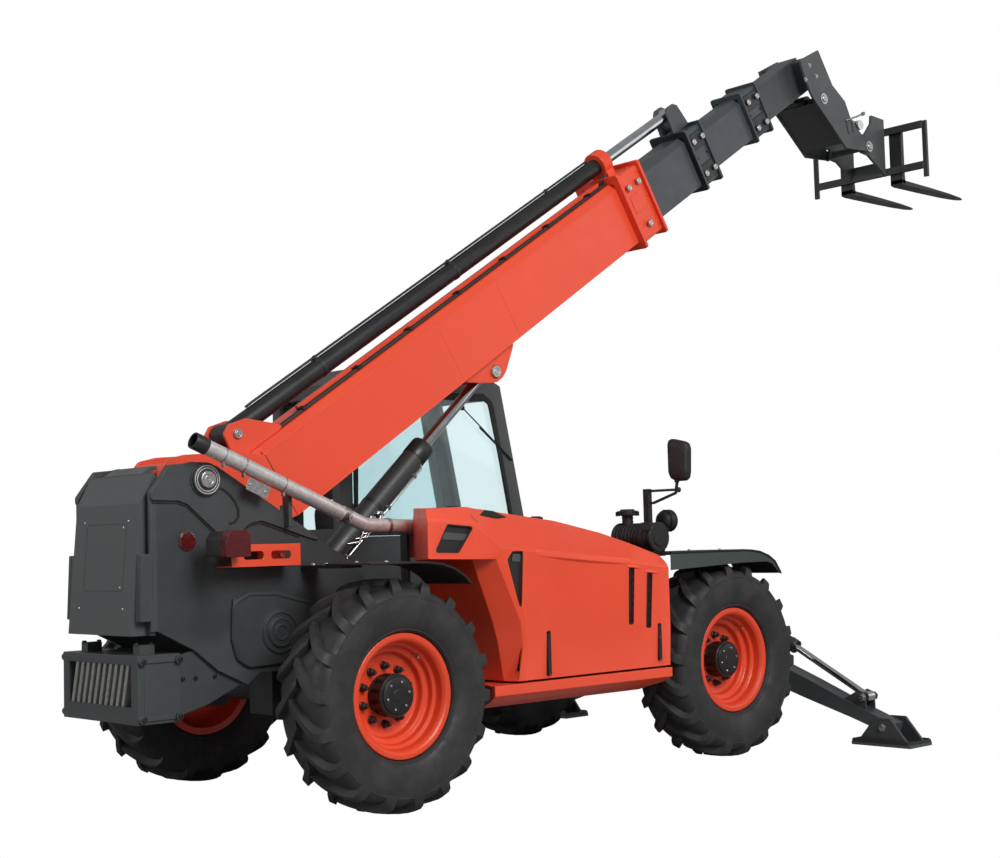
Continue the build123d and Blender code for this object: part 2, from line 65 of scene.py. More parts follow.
def make_camera():
    data = bpy.data.cameras.new("camera")
    data.lens, data.sensor_width, data.clip_end = CAMERA_LENS, CAMERA_SENSOR, CAMERA_REACH
    cam = link(bpy.data.objects.new("camera", data))
    ahead = Vector((cos(CAMERA_PITCH) * cos(CAMERA_YAW), cos(CAMERA_PITCH) * sin(CAMERA_YAW), sin(CAMERA_PITCH)))
    right = ahead.cross(Z).normalized()
    up = right.cross(ahead)
    rolled_right = right * cos(CAMERA_ROLL) + up * sin(CAMERA_ROLL)
    rolled_up = up * cos(CAMERA_ROLL) - right * sin(CAMERA_ROLL)
    turn = Matrix((rolled_right, rolled_up, -ahead)).transposed()
    cam.matrix_world = Matrix.Translation(CAMERA_AT) @ turn.to_4x4()
    bpy.context.scene.camera = cam


make_camera()


# ---------------------------------------------------------------- node helpers
def wire(tree, node, **inputs):
    """Sets a node's inputs, or links those given as sockets; an underscore stands for a space in the input's name."""
    for name, value in inputs.items():
        socket = node.inputs[name.replace("_", " ")]
        if isinstance(value, bpy.types.NodeSocket):
            tree.links.new(value, socket)
        else:
            socket.default_value = value


def add_node(tree, kind, **inputs):
    node = tree.nodes.new(kind)
    wire(tree, node, **inputs)
    return node


def new_material(name):
    """An empty node material with its output and shader, ready to be wired."""
    mat = bpy.data.materials.new(name)
    mat.use_nodes = True
    tree = mat.node_tree
    tree.nodes.clear()
    shader = tree.nodes.new("ShaderNodeBsdfPrincipled")
    add_node(tree, "ShaderNodeOutputMaterial", Surface=shader.outputs[0])
    return mat, tree, shader


def noise(tree, scale, detail=4.0, rough=0.5):
    """A noise texture in object space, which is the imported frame, in metres."""
    where = tree.nodes.new("ShaderNodeTexCoord").outputs["Object"]
    tex = add_node(tree, "ShaderNodeTexNoise", Vector=where, Scale=scale, Detail=detail, Roughness=rough)
    return tex.outputs["Fac"]


def ramp(tree, value, low, high, start=0.35, end=0.65):
    """Goes from one value or colour to another while the value given goes from start to end."""
    if isinstance(low, tuple):
        node = add_node(tree, "ShaderNodeValToRGB", Fac=value)
        for n, position, color in ((0, start, low), (1, end, high)):
            stop = node.color_ramp.elements[n]
            stop.position, stop.color = position, (*color, 1)
        return node.outputs["Color"]
    node = add_node(tree, "ShaderNodeMapRange", Value=value, From_Min=start, From_Max=end, To_Min=low, To_Max=high)
    return node.outputs["Result"]


def bump(tree, shader, height, strength, distance, edge=0.0):
    """Bump from a height, over normals rounded at edges by this radius."""
    node = add_node(tree, "ShaderNodeBump", Height=height, Strength=strength, Distance=distance)
    if edge:
        soft = add_node(tree, "ShaderNodeBevel", Radius=edge)
        soft.samples = 4
        wire(tree, node, Normal=soft.outputs[0])
    wire(tree, shader, Normal=node.outputs[0])


def shade(color, factor):
    return tuple(min(1.0, c * factor) for c in color)


def edge_highlight_mask(tree):
    """Pointiness picks out convex edges, which are painted lighter as a highlight."""
    geometry = tree.nodes.new("ShaderNodeNewGeometry")
    return ramp(tree, geometry.outputs["Pointiness"], 0.0, 1.0, 0.52, 0.62)


def mixed(tree, factor, first, second):
    """A mix of two colours, each a tuple or a socket."""
    node = tree.nodes.new("ShaderNodeMix")
    node.data_type = "RGBA"
    first, second = ((*c, 1) if isinstance(c, tuple) else c for c in (first, second))
    wire(tree, node, Factor=factor, A=first, B=second)
    return node.outputs["Result"]


# ---------------------------------------------------------------- materials
PEEL_SCALE, PEEL_DEPTH, EDGE_RADIUS = 260, 0.0006, 0.005   # orange peel, and how round painted edges look


def paint(name, color, rough, coat=0.0, dust=0.25, peel=0.06):
    """Sprayed enamel: slight shade drift, faint dust in broad patches, orange peel, and a painted highlight on convex
    edges.
    """
    mat, tree, shader = new_material(name)
    drift = ramp(tree, noise(tree, 1.3, 3), shade(color, 0.93), shade(color, 1.06), 0.3, 0.7)
    dusty = ramp(tree, noise(tree, 4.0, 8, 0.62), 0.0, dust, 0.5, 0.8)
    worn = mixed(tree, dusty, drift, tuple(0.75 * c + 0.06 for c in color))
    # painted highlight: convex edges lighter in the same hue
    edge_highlighted = mixed(tree, edge_highlight_mask(tree), worn, tuple(min(1.0, 1.15 * c + 0.03) for c in color))
    gloss = ramp(tree, noise(tree, 9.0, 6), rough - 0.05, rough + 0.09)
    wire(tree, shader, Base_Color=edge_highlighted, Roughness=gloss, Coat_Weight=coat, Coat_Roughness=0.12)
    bump(tree, shader, noise(tree, PEEL_SCALE, 2), peel, PEEL_DEPTH, edge=EDGE_RADIUS)
    return mat


def metal(name, color, rough, grain=40, metallic=1.0, bump_depth=0.0003):
    """Metal whose shade and gloss drift with its grain."""
    mat, tree, shader = new_material(name)
    tone = ramp(tree, noise(tree, grain, 6, 0.6), shade(color, 0.85), shade(color, 1.08))
    gloss = ramp(tree, noise(tree, grain * 1.7, 5, 0.6), rough * 0.75, rough * 1.3)
    wire(tree, shader, Base_Color=tone, Metallic=metallic, Roughness=gloss)
    bump(tree, shader, noise(tree, grain * 4, 4), 0.15, bump_depth)
    return mat


def rubber(name, color, dust):
    """Tyre rubber with dry dust in patches."""
    mat, tree, shader = new_material(name)
    patches = ramp(tree, noise(tree, 7.0, 9, 0.62), 0.0, 0.6, 0.42, 0.75)
    gloss = ramp(tree, noise(tree, 15, 6), 0.5, 0.75)
    wire(tree, shader, Base_Color=mixed(tree, patches, color, dust), Roughness=gloss)
    bump(tree, shader, noise(tree, 130, 8, 0.7), 0.35, 0.0012)
    return mat


def glass(name, tint):
    """Cab glass, faintly tinted and faintly uneven."""
    mat, tree, shader = new_material(name)
    wire(tree, shader, Base_Color=(*tint, 1), Roughness=0.03, IOR=1.45, Transmission_Weight=0.95)
    bump(tree, shader, noise(tree, 2.0, 2), 0.05, 0.0008)
    return mat


def lens(name, color):
    """Moulded lamp lens, fluted inside and glossy outside."""
    mat, tree, shader = new_material(name)
    tone = ramp(tree, noise(tree, 60, 2), shade(color, 0.8), shade(color, 1.25))
    wire(tree, shader, Base_Color=tone, Roughness=0.12, Coat_Weight=0.8)
    bump(tree, shader, add_node(tree, "ShaderNodeTexWave", Scale=60).outputs["Fac"], 0.5, 0.001)
    return mat


def plastic(name, color, rough=0.55):
    """Grained plastic, rubber or leather."""
    mat, tree, shader = new_material(name)
    tone = ramp(tree, noise(tree, 6, 6), shade(color, 0.85), shade(color, 1.2))
    wire(tree, shader, Base_Color=tone, Roughness=ramp(tree, noise(tree, 30, 4), rough - 0.08, rough + 0.08))
    bump(tree, shader, noise(tree, 420, 3), 0.3, 0.0005)
    return mat


ORANGE = paint("orange_paint", (0.77, 0.06, 0.016), 0.4, coat=0.1, dust=0.1)
GREY = paint("grey_paint", (0.034, 0.04, 0.042), 0.45, coat=0.05, dust=0.1)
DARK = paint("dark_panel", (0.016, 0.018, 0.017), 0.4, coat=0.1, dust=0.08)
BLACK = paint("black_paint", (0.006, 0.006, 0.0065), 0.4, coat=0.1, dust=0.06)
CHROME = metal("chrome", (0.62, 0.64, 0.66), 0.08, grain=12, bump_depth=0.0001)
STEEL = metal("dull_steel", (0.7, 0.68, 0.66), 0.36, metallic=0.6, bump_depth=0.00006)
SILVER = metal("zinc_plate", (0.55, 0.55, 0.55), 0.3)
RUBBER = rubber("tyre_rubber", (0.017, 0.017, 0.018), (0.052, 0.049, 0.045))
GLASS = glass("clear_glass", (0.74, 0.9, 0.92))
RED_LENS = lens("red_lens", (0.1, 0.003, 0.005))
PLASTIC = plastic("black_plastic", (0.01, 0.01, 0.011))
CHARCOAL_PLASTIC = plastic("charcoal_plastic", (0.06, 0.062, 0.062), 0.5)
SEAL = plastic("seal_rubber", (0.006, 0.006, 0.006), 0.65)
LIGHT = metal("slat_aluminium", (0.3, 0.3, 0.29), 0.45, metallic=0.5)
LEATHER = plastic("seat_leather", (0.02, 0.02, 0.021), 0.42)
BOOM_GREY = paint("boom_grey_paint", (0.04, 0.05, 0.056), 0.42, coat=0.05, dust=0.1)
DARK_RED = paint("shaded_orange_paint", (0.2, 0.012, 0.01), 0.5, dust=0.1)
ORANGE_CAST = paint("cast_orange_paint", (0.77, 0.065, 0.018), 0.38, coat=0.2, peel=0.5)
MIRROR = metal("mirror_glass", (0.75, 0.78, 0.8), 0.03, bump_depth=0.00005)
LAMP_GLASS = lens("lamp_glass", (0.45, 0.48, 0.5))

# The record's slots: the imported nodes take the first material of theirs
SLOTS = {
    "orange_paint": (ORANGE, ORANGE_CAST, DARK_RED), "grey_paint": (GREY, DARK, BOOM_GREY), "black_paint": (BLACK,),
    "chrome": (CHROME,), "dull_steel": (STEEL, SILVER, LIGHT), "tyre_rubber": (RUBBER,), "red_lens": (RED_LENS,),
    "clear_glass": (GLASS, MIRROR, LAMP_GLASS), "black_plastic": (PLASTIC, CHARCOAL_PLASTIC, SEAL, LEATHER),
}


def dress_nodes():
    """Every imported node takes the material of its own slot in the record."""
    for entry in frame["record"]["subparts"]:
        materials = frame["nodes"][entry["node"]].data.materials
        materials.clear()
        materials.append(SLOTS[entry["material_slot"]][0])


dress_nodes()


# ---------------------------------------------------------------- mesh helpers
def unit_frame(axis):
    """Two directions square to this axis and to each other, and the axis itself."""
    axis = Vector(axis).normalized()
    first = X if abs(axis.y) > 0.99 else axis.orthogonal().normalized()
    return first, axis.cross(first).normalized(), axis


def in_plane(at, u, v, thick):
    """What puts corners into the plane of u and v, and half of this thickness square to it."""
    at, u, v = Vector(at), Vector(u).normalized(), Vector(v).normalized()
    return lambda corners: [at + u * a + v * b for a, b in corners], u.cross(v).normalized() * thick / 2


def mm(corners):
    """Places given in millimetres, in metres."""
    return [tuple(value / 1000 for value in corner) for corner in corners]


def rect(left, right, low, high):
    return [(left, low), (right, low), (right, high), (left, high)]


def pad(wide, high, x=0.0, z=0.0):
    """An oblong of these half sizes round a place."""
    return rect(x - wide, x + wide, z - high, z + high)


def rounded(corners, radius, steps=5):
    """The outline with each corner turned to a curve of about this radius, or of its own from a list."""
    out = []
    for i, corner in enumerate(corners):
        own = radius[i] if isinstance(radius, (list, tuple)) else radius
        before, here, after = Vector(corners[i - 1]), Vector(corner), Vector(corners[(i + 1) % len(corners)])
        back, on = before - here, after - here
        if own <= 0:
            out.append(here)
            continue
        half_turn = back.angle(on) / 2
        slope = max(0.05, abs(sin(half_turn) / max(0.05, cos(half_turn))))
        reach = min(own / slope, 0.45 * back.length, 0.45 * on.length)
        start, end = here + back.normalized() * reach, here + on.normalized() * reach
        for s in (k / steps for k in range(steps + 1)):
            out.append(start * (1 - s) ** 2 + here * 2 * s * (1 - s) + end * s * s)
    return out


def inset(outline, by):
    """The same closed outline drawn in by this much, or let out where it is negative."""
    points = [Vector(p) for p in outline]
    area = sum(a.x * b.y - a.y * b.x for a, b in zip(points, points[1:] + points[:1]))
    turn = by if area > 0 else -by
    moved = []
    for i, point in enumerate(points):
        ahead = (points[(i + 1) % len(points)] - points[i - 1]).normalized()
        moved.append(point + Vector((-ahead.y, ahead.x)) * turn)
    return moved


POINT = 0.0002  # radius that stands for 0, where a turned form closes on its axis


class Shape:
    """One mesh piece gathered from turned, extruded and lofted forms."""

    def __init__(self):
        self.bm = bmesh.new()

    def rings(self, rings, loop=False):
        """Skin between rings of points that have as many corners each; a loop goes back to its first ring."""
        made = [[self.bm.verts.new(p) for p in ring] for ring in rings]
        count = len(made[0])
        for a, b in zip(made, made[1:] + made[:1] if loop else made[1:]):
            for i in range(count):
                j = (i + 1) % count
                self.bm.faces.new((a[i], a[j], b[j], b[i]))
        if not loop:
            self.bm.faces.new(list(reversed(made[0])))
            self.bm.faces.new(made[-1])

    def lathe(self, at, axis, segments, *profile, loop=False):
        """A turned form: the profile gives distance along the axis, radius and so on, in mm; radius 0 closes it."""
        first, second, axis = unit_frame(axis)
        rings = []
        for along, radius in mm(zip(profile[::2], profile[1::2])):
            centre = Vector(at) + axis * along
            rings.append([centre + (first * cos(a) + second * sin(a)) * max(radius, POINT)
                          for a in (2 * pi * k / segments for k in range(segments))])
        self.rings(rings, loop)

    def disc(self, at, axis, segments, *profile):
        """A turned form that is solid to its axis at both ends, wherever the profile starts and stops."""
        self.lathe(at, axis, segments, profile[0], 0, *profile, *((profile[-2], 0) if profile[-1] else ()))

    def clamp(self, at, axis, segments, half, inner, outer):
        """A flat ring round a bar, in mm: half its width, the radius just inside the bar's skin, its own radius."""
        self.lathe(at, axis, segments, -half, inner, -half, outer, half, outer, half, inner)

    def prism(self, at, u, v, corners, thick):
        """A plate: corners in the plane of u and v, this thick with the plane at its middle."""
        place, normal = in_plane(at, u, v, thick)
        base = place(corners)
        self.rings([[p - normal for p in base], [p + normal for p in base]])

    def plate(self, y, corners, thick):
        """An upright plate along the vehicle: corners in X and Z."""
        self.prism((0, y, 0), X, Z, corners, thick)

    def box(self, low, high):
        (x0, y0, z0), (x1, y1, z1) = low, high
        self.plate((y0 + y1) / 2, rect(x0, x1, z0, z1), abs(y1 - y0))

    def band(self, at, u, v, outer, inner, thick):
        """A flat strip between two outlines with as many corners, in the plane of u and v."""
        place, normal = in_plane(at, u, v, thick)
        outer, inner = place(outer), place(inner)
        self.rings([[p - normal for p in outer], [p + normal for p in outer],
                    [p + normal for p in inner], [p - normal for p in inner]], loop=True)

    def ribbon(self, at, u, v, line, wide, thick):
        """A strip this wide along an open line in the plane of u and v."""
        at, u, v = Vector(at), Vector(u).normalized(), Vector(v).normalized()
        normal = u.cross(v).normalized() * thick / 2
        rings = []
        for i, point in enumerate(line):
            before, after = Vector(line[max(i - 1, 0)]), Vector(line[min(i + 1, len(line) - 1)])
            ahead = (after - before).normalized()
            side = (u * -ahead.y + v * ahead.x) * wide / 2
            here = at + u * point[0] + v * point[1]
            rings.append([here - side - normal, here + side - normal, here + side + normal, here - side + normal])
        self.rings(rings)

    def pipe(self, points, radius, segments=12):
        """A round bar along straight runs, mitred at the bends."""
        points = [Vector(p) for p in points]
        rings = []
        for i, point in enumerate(points):
            before = (point - points[i - 1]).normalized() if i else (points[1] - point).normalized()
            after = (points[i + 1] - point).normalized() if i < len(points) - 1 else before
            ahead = (before + after).normalized()
            if i == 0:
                side = ahead.orthogonal().normalized()
            side = (side - ahead * side.dot(ahead)).normalized()
            up = ahead.cross(side)
            rings.append([point + (side * cos(a) + up * sin(a)) * radius
                          for a in (2 * pi * k / segments for k in range(segments))])
        self.rings(rings)

    def mesh(self, name):
        """Hands its form over to a mesh and an object."""
        bmesh.ops.recalc_face_normals(self.bm, faces=self.bm.faces)
        mesh = bpy.data.meshes.new(name)
        self.bm.to_mesh(mesh)
        self.bm.free()
        return mesh, link(bpy.data.objects.new(name, mesh))

    def cut(self, other):
        """Takes the other form out of this one."""
        pair = [form.mesh("cutting") for form in (self, other)]
        whole = pair[0][1]
        difference = whole.modifiers.new("cut", "BOOLEAN")
        difference.object = pair[1][1]
        difference.solver = "EXACT"
        result = bpy.data.meshes.new_from_object(whole.evaluated_get(bpy.context.evaluated_depsgraph_get()))
        self.bm = bmesh.new()
        self.bm.from_mesh(result)
        for mesh, piece in pair:
            bpy.data.objects.remove(piece)
            bpy.data.meshes.remove(mesh)
        bpy.data.meshes.remove(result)
        return self

    def finish(self, name, material, body="chassis", bevel=0.0, replaces=(), smooth=40):
        """Makes the piece: its material, the body it rides on, edges rounded or else sharp above an angle."""
        mesh, piece = self.mesh(name)
        mesh.materials.append(material)
        for polygon in mesh.polygons:
            polygon.use_smooth = True
        if bevel:
            round_off = piece.modifiers.new("bevel", "BEVEL")
            round_off.width = bevel
            round_off.segments = 2
            round_off.limit_method = "ANGLE"
            round_off.angle_limit = radians(smooth - 5)
            round_off.harden_normals = True
        else:
            mesh.set_sharp_from_angle(angle=radians(smooth))
        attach(piece, body)
        if replaces:
            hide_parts(*replaces)
        return piece


def shapes(count):
    return [Shape() for _ in range(count)]


# ---------------------------------------------------------------- wheels
HUB_Y, HUB_Z = 0.975, 0.631
TREAD_SEGMENTS, RIM_SEGMENTS = 120, 72
LUGS, LUG_LEAD = 18, 0.28                               # on each half, and their inner ends' lead in radians
STUDS, STUD_CIRCLE, COVER_BOLTS, COVER_CIRCLE = 10, 0.158, 6, 0.076
VALVE_CIRCLE, VALVE_TURN = 0.255, 0.6
AXLES = (("front", -0.255), ("rear", -3.055))
# Half-section of the tyre in mm, bead to crown: distance outwards from the middle, radius
TYRE_SECTION = mm([
    (120, 311.5), (136.5, 311.5), (137.2, 341), (151, 344), (160, 350), (166.5, 355), (165.5, 362), (171.5, 370),
    (180, 390), (188.5, 420), (194.5, 455), (196.5, 485), (195, 515), (192.5, 534), (194.5, 537.5), (192.5, 541),
    (187, 553), (172, 571), (140, 583), (95, 589), (45, 592), (0, 593)])
# A lug from its inner end to the shoulder, in mm and thousandths of a radian: distance out, turn, radius on top, half
# width on top, half width at the foot, radius at the foot
LUG = mm([
    (-26, 295, 628.5, 20, 33, 583), (8, 240, 630, 24.5, 38, 583), (55, 160, 630.5, 25, 40, 580),
    (100, 85, 629, 24.5, 40, 575), (140, 32, 624, 25, 41, 565), (170, 8, 612, 27, 42, 550),
    (186, 0, 593, 29, 43, 535), (194.5, 0, 560, 31, 43, 525)])
# Half-section of a rim, in mm: distance outwards from the wheel's middle, radius
RIM_SECTION = (
    -150, 296, -150, 338, -138, 338, -138, 306, 138, 306, 138, 332, 141, 337, 147, 338, 150, 333, 150, 312, 143, 300,
    128, 290, 84, 286, 78, 280, 76, 270, 70, 266, 42, 264, 36, 258, 31, 238, 24, 232, -4, 229, -12, 224, -20, 204,
    -20, 62, -34, 62, -34, 210, -16, 262, 0, 290, -60, 296)


def round_hub(centre, radius, angle, out=0.0):
    return centre + Vector((radius * sin(angle), out, radius * cos(angle)))


def make_tyre(name, centre, side, body, node):
    """A closed tread section turned round the hub, with a row of lugs on each half."""
    shape = Shape()
    section = TYRE_SECTION + [(-out, radius) for out, radius in reversed(TYRE_SECTION[:-1])]
    shape.rings([[round_hub(centre, radius, 2 * pi * k / TREAD_SEGMENTS, side * out) for k in range(TREAD_SEGMENTS)]
                 for out, radius in section], loop=True)
    for half in (1, -1):
        for n in range(LUGS):
            start = (n + (0 if half == side else 0.5)) * 2 * pi / LUGS
            rings = []
            for out, turn, top, half_top, half_foot, foot in LUG:
                middle = start - LUG_LEAD + turn
                rings.append([round_hub(centre, radius, middle + half_width / radius, side * half * out)
                              for radius, half_width in ((foot, -half_foot), (top, -half_top), (top, half_top),
                                                         (foot, half_foot))])
            shape.rings(rings)
    shape.finish(name, RUBBER, body, 0.0045, (node,), 38)


def make_rim(name, centre, side, body, node):
    """Dished rim: rolled lip, two steps and a flat disc."""
    shape = Shape()
    shape.lathe(centre, (0, side, 0), RIM_SEGMENTS, *RIM_SECTION, loop=True)
    shape.finish(name, ORANGE, body, 0.0016, (node,), 30)


def make_hub(name, centre, side, body):
    """Black hub drum with its bolted cover, the ring of wheel nuts on their studs, and the valve on the rim."""
    drum, bolts = shapes(2)
    axis = (0, side, 0)
    drum.disc(centre, axis, 56, -34, 112, 8, 112, 10, 118, 18, 114.5, 72, 114.5, 78, 118.5, 90, 118.5, 94.5, 114.5,
              94.5, 102, 102.5, 100, 105.5, 94, 105.5, 34, 109, 31)
    for k in range(STUDS):
        spot = round_hub(centre, STUD_CIRCLE, 2 * pi * k / STUDS)
        drum.lathe(spot, axis, 20, -21, 0, -21, 24.5, -14, 22.5, -12, 19.5)
        drum.disc(spot, axis, 6, -13, 19.8, 10, 19.8, 13.5, 16.8)
        drum.disc(spot, axis, 12, 10, 10.5, 29, 10.5, 31, 9)
    drum.finish(name, BLACK, body, 0.0012, smooth=32)
    for k in range(COVER_BOLTS):
        spot = round_hub(centre, COVER_CIRCLE, 2 * pi * (k + 0.3) / COVER_BOLTS)
        bolts.disc(spot, axis, 6, 104, 7.8, 110.5, 7.8, 111.5, 6.5)
    spot = round_hub(centre, VALVE_CIRCLE, VALVE_TURN)
    bolts.pipe([spot + Vector((x, side * y, z)) for x, y, z in ((0, 0.06, 0), (0, 0.1, 0), (-0.012, 0.122, -0.015))],
               0.006, 10)
    bolts.finish(name + "_bolts", SILVER, body, 0.0006, smooth=32)


for axle, x in AXLES:
    for side_name, side in (("right", -1), ("left", 1)):
        wheel, hub = f"{axle}_{side_name}", Vector((x, side * HUB_Y, HUB_Z))
        make_tyre(wheel + "_tyre_moulded", hub, side, wheel + "_wheel", wheel + "_tyre")
        make_rim(wheel + "_rim_dished", hub, side, wheel + "_wheel", wheel + "_rim")
        make_hub(wheel + "_hub", hub, side, wheel + "_wheel")


# ---------------------------------------------------------------- boom pins
BOOM_TURN = radians(32.5)
PIVOT = Vector((-3.825, 0, 1.822))
UP_BOOM = Vector((cos(BOOM_TURN), 0, sin(BOOM_TURN)))
OFF_BOOM = Vector((-sin(BOOM_TURN), 0, cos(BOOM_TURN)))
LIFT_PIN = Vector((-1.382, 0, 2.567))


def boom_at(along, off, y=0.0):
    """A place on the boom at rest: metres from the pivot, square above its line, and across."""
    return PIVOT + UP_BOOM * along + OFF_BOOM * off + Vector((0, y, 0))


def pin_head(shape, at, side, radius, proud):
    """A pin's end, in mm: chamfered disc with a turned groove and a drilled middle."""
    shape.disc(at, (0, side, 0), 36, -4, radius, proud * 0.7, radius, proud, radius * 0.9, proud, radius * 0.62,
               proud - 2, radius * 0.58, proud - 2, radius * 0.5, proud, radius * 0.46, proud, radius * 0.16,
               proud - 5, radius * 0.12)


def make_pins():
    """Turned ends of the pins; the places are the ends on the left, radius and height in mm."""
    for name, body, ends in (
            ("pivot", "chassis", [(PIVOT + Y * 0.442, 47, 10)]),
            ("boom", "boom_outer", [
                (LIFT_PIN + Y * 0.109, 42, 20), (boom_at(0.5, 0.015, 0.11), 30, 14),
                (boom_at(4.275, -0.2, 0.205), 23.5, 12), (boom_at(4.395, -0.2, 0.205), 23.5, 12),
                (boom_at(4.335, -0.51, 0.205), 23.5, 12)]),
            ("section_2", "boom_second", [(boom_at(along, off, 0.179), 23.5, 10)
                                          for off in (-0.23, -0.49) for along in (5.17, 5.29)]),
            ("section_3", "boom_third", [(boom_at(along, off, 0.155), 23.5, 10)
                                         for off in (-0.25, -0.47) for along in (6.0, 6.13)]),
            ("head", "boom_fourth", [(Vector((x, 0.22, z)), 30, 10) for x, z in ((2.924, 4.704), (2.3, 5.01))])):
        shape = Shape()
        for side in SIDES:
            for place, radius, proud in ends:
                if name == "head":
                    shape.lathe((place.x, side * 0.214, place.z), (0, side, 0), 40, 0, 0, 0, 46, 5.5, 46, 6, 0)
                pin_head(shape, (place.x, side * place.y, place.z), side, radius, proud)
        shape.finish(name + "_pin_ends", SILVER, body, 0.0008, smooth=32)


make_pins()


# ---------------------------------------------------------------- rear of the frame
CASTING_UP = Vector((0.06, 0, 0.7)).normalized()
CASTING_AT = Vector((-4.2338, 0, 1.13))
AXLE_EYE_X, AXLE_EYE_Z = -3.357, 0.975
# Outlines in X and Z
AXLE_COVER = rounded(mm([(-3640, 840), (-3672, 950), (-3665, 1150), (-3560, 1205), (-3378, 1200), (-3059, 1118),
                         (-3059, 900), (-3300, 800), (-3560, 790)]), 0.07, 6)
# Black strips of painted shade on the side plates, where grooves fall into shadow: a hook below the pivot pin, and
# lines behind and ahead of it
HOOK_SHADE_LINE = mm([(-3752, 1782), (-3712, 1770), (-3672, 1742), (-3636, 1700), (-3616, 1655), (-3618, 1618), (-3640, 1592),
           (-3676, 1582)])
SHADE_LINE_BEHIND = mm([(-4150, 1702), (-3992, 1699), (-3934, 1680), (-3755, 1528), (-3690, 1478)])
SHADE_LINE_AHEAD = mm([(-3594, 1530), (-3540, 1571), (-3466, 1586), (-3382, 1561), (-3200, 1502)])
# Doubler on the tower's upper part, the tower's rear edge and the rib beside it
DOUBLER = mm([(-4160, 1756), (-4049, 1901), (-3854, 1919), (-3752, 1899), (-2990, 1448), (-3380, 1572), (-3466, 1597),
              (-3539, 1583), (-3593, 1542), (-3680, 1470), (-3758, 1538), (-3938, 1690), (-3995, 1709), (-4160, 1713)])
TOWER_EDGE = mm([(-4160, 1020), (-4160, 1756), (-4049, 1901), (-3854, 1919), (-3840, 1880), (-3995, 1709),
                 (-4100, 1700), (-4100, 1020)])
SIDE_RIB = mm([(-4222, 1075), (-4206, 1430), (-4150, 1430), (-4150, 1075)])
GRILLE_ROWS, GRILLE_COLUMNS = (0.57, 0.87), (-4.222, -4.005)
SLATS, SLAT_PITCH = 10, 0.06
GRILLE_ARM = mm([(-4000, 560), (-4000, 880), (-3905, 905), (-3600, 860), (-3541, 725), (-3797, 612)])
LAMP_FACE = mm([(-3776, 1402), (-3776, 1518), (-3803, 1542), (-3897, 1542), (-3927, 1499), (-3927, 1402)])


def bolts_at(shape, places, axis, segments, *profile):
    """The same bolt or nut at each of these places, its profile in mm."""
    for place in places:
        shape.disc(place, axis, segments, *profile)


def make_rear_plate():
    """The flat plate let into the rear casting, bare: a fine raised line near its edge and a bolt in each corner."""
    shape, bolts = shapes(2)
    shape.prism(CASTING_AT + X * 0.003, Y, CASTING_UP, rounded(rect(-0.246, 0.246, 0.006, 0.486), 0.012, 4), 0.005)
    line = rounded(rect(-0.222, 0.205, 0.105, 0.468), 0.02, 4)
    shape.band(CASTING_AT - X * 0.0002, Y, CASTING_UP, line, inset(line, 0.0035), 0.002)
    shape.finish("rear_plate", DARK, bevel=0.0012)
    corners = ((-0.236, 0.012), (0.236, 0.012), (-0.236, 0.48), (0.236, 0.48), (-0.19, 0.125), (-0.19, 0.445))
    bolts_at(bolts, [CASTING_AT + CASTING_UP * up + Y * y for y, up in corners], -X, 14, -2, 6.2, 2.2, 5.8, 3.4, 4)
    bolts.finish("rear_plate_bolts", STEEL, bevel=0.0004)


def make_tower():
    """Doubler plates on the towers, their rear edges and ribs, the axle covers with their bosses, and the pin's."""
    shape = Shape()
    for side in SIDES:
        for out, outline, thick in ((0.407, rounded(DOUBLER, 0.03, 4), 0.014), (0.3875, TOWER_EDGE, 0.0245),
                                    (0.382, rounded(SIDE_RIB, 0.008, 3), 0.036), (0.357, SIDE_RIB, 0.034),
                                    (0.4095, AXLE_COVER, 0.0185)):
            shape.plate(side * out, outline, thick)
        for x, out, z, segments, radius, proud, end in (
                (AXLE_EYE_X, 0.4, AXLE_EYE_Z, 56, 120, 26, 26.5), (AXLE_EYE_X, 0.4, AXLE_EYE_Z, 56, 85, 34, 34.5),
                (PIVOT.x, 0.4, PIVOT.z, 56, 86, 35, 35.5), (PIVOT.x, 0.425, PIVOT.z, 44, 50, 17, 17.2)):
            shape.disc((x, side * out, z), (0, side, 0), segments, 0, radius, proud, radius, end, 0)
    shape.finish("tower_plates", GREY, bevel=0.002)


def make_frame_details():
    """Raised rims on the axle covers, black strips of painted shade where grooves near the pivot pin fall into shadow,
    reflectors and rings round the pivot pin.
    """
    rims, shade_lines, lights, rings = shapes(4)
    for side in SIDES:
        axis = (0, side, 0)
        rims.band((0, side * 0.42, 0), X, Z, inset(AXLE_COVER, 0.004), inset(AXLE_COVER, 0.02), 0.009)
        for radius, out in ((116, 0.4285), (80, 0.4365), (46, 0.4365)):
            rims.lathe((AXLE_EYE_X, side * out, AXLE_EYE_Z), axis, 48, -3, radius - 12, 3, radius - 10,
                       4.5, radius - 5, 3, radius, -3, radius + 2)
        # painted shade: black strips along the grooves' shadows
        shade_lines.ribbon((0, side * 0.416, 0), X, Z, HOOK_SHADE_LINE, 0.013, 0.006)
        for line in (SHADE_LINE_BEHIND, SHADE_LINE_AHEAD):
            shade_lines.ribbon((0, side * 0.4025, 0), X, Z, line, 0.012, 0.006)
        lights.disc((-3.937, side * 0.4005, 1.494), axis, 40, -2, 53, 8, 53, 10, 50, 10, 46, 12, 44, 13, 20)
        for radius in (78, 65):
            rings.lathe((PIVOT.x, side * 0.4345, PIVOT.z), axis, 44, -2, radius - 6, 3, radius - 4, 3, radius,
                        -2, radius + 2)
    rims.finish("axle_cover_rims", GREY, bevel=0.0015)
    # the black strips are painted shade, not seams
    shade_lines.finish("frame_shade_lines", SEAL, bevel=0.001)
    lights.finish("side_reflectors", RED_LENS, bevel=0.0008)
    rings.finish("pivot_rings", STEEL, bevel=0.0006)


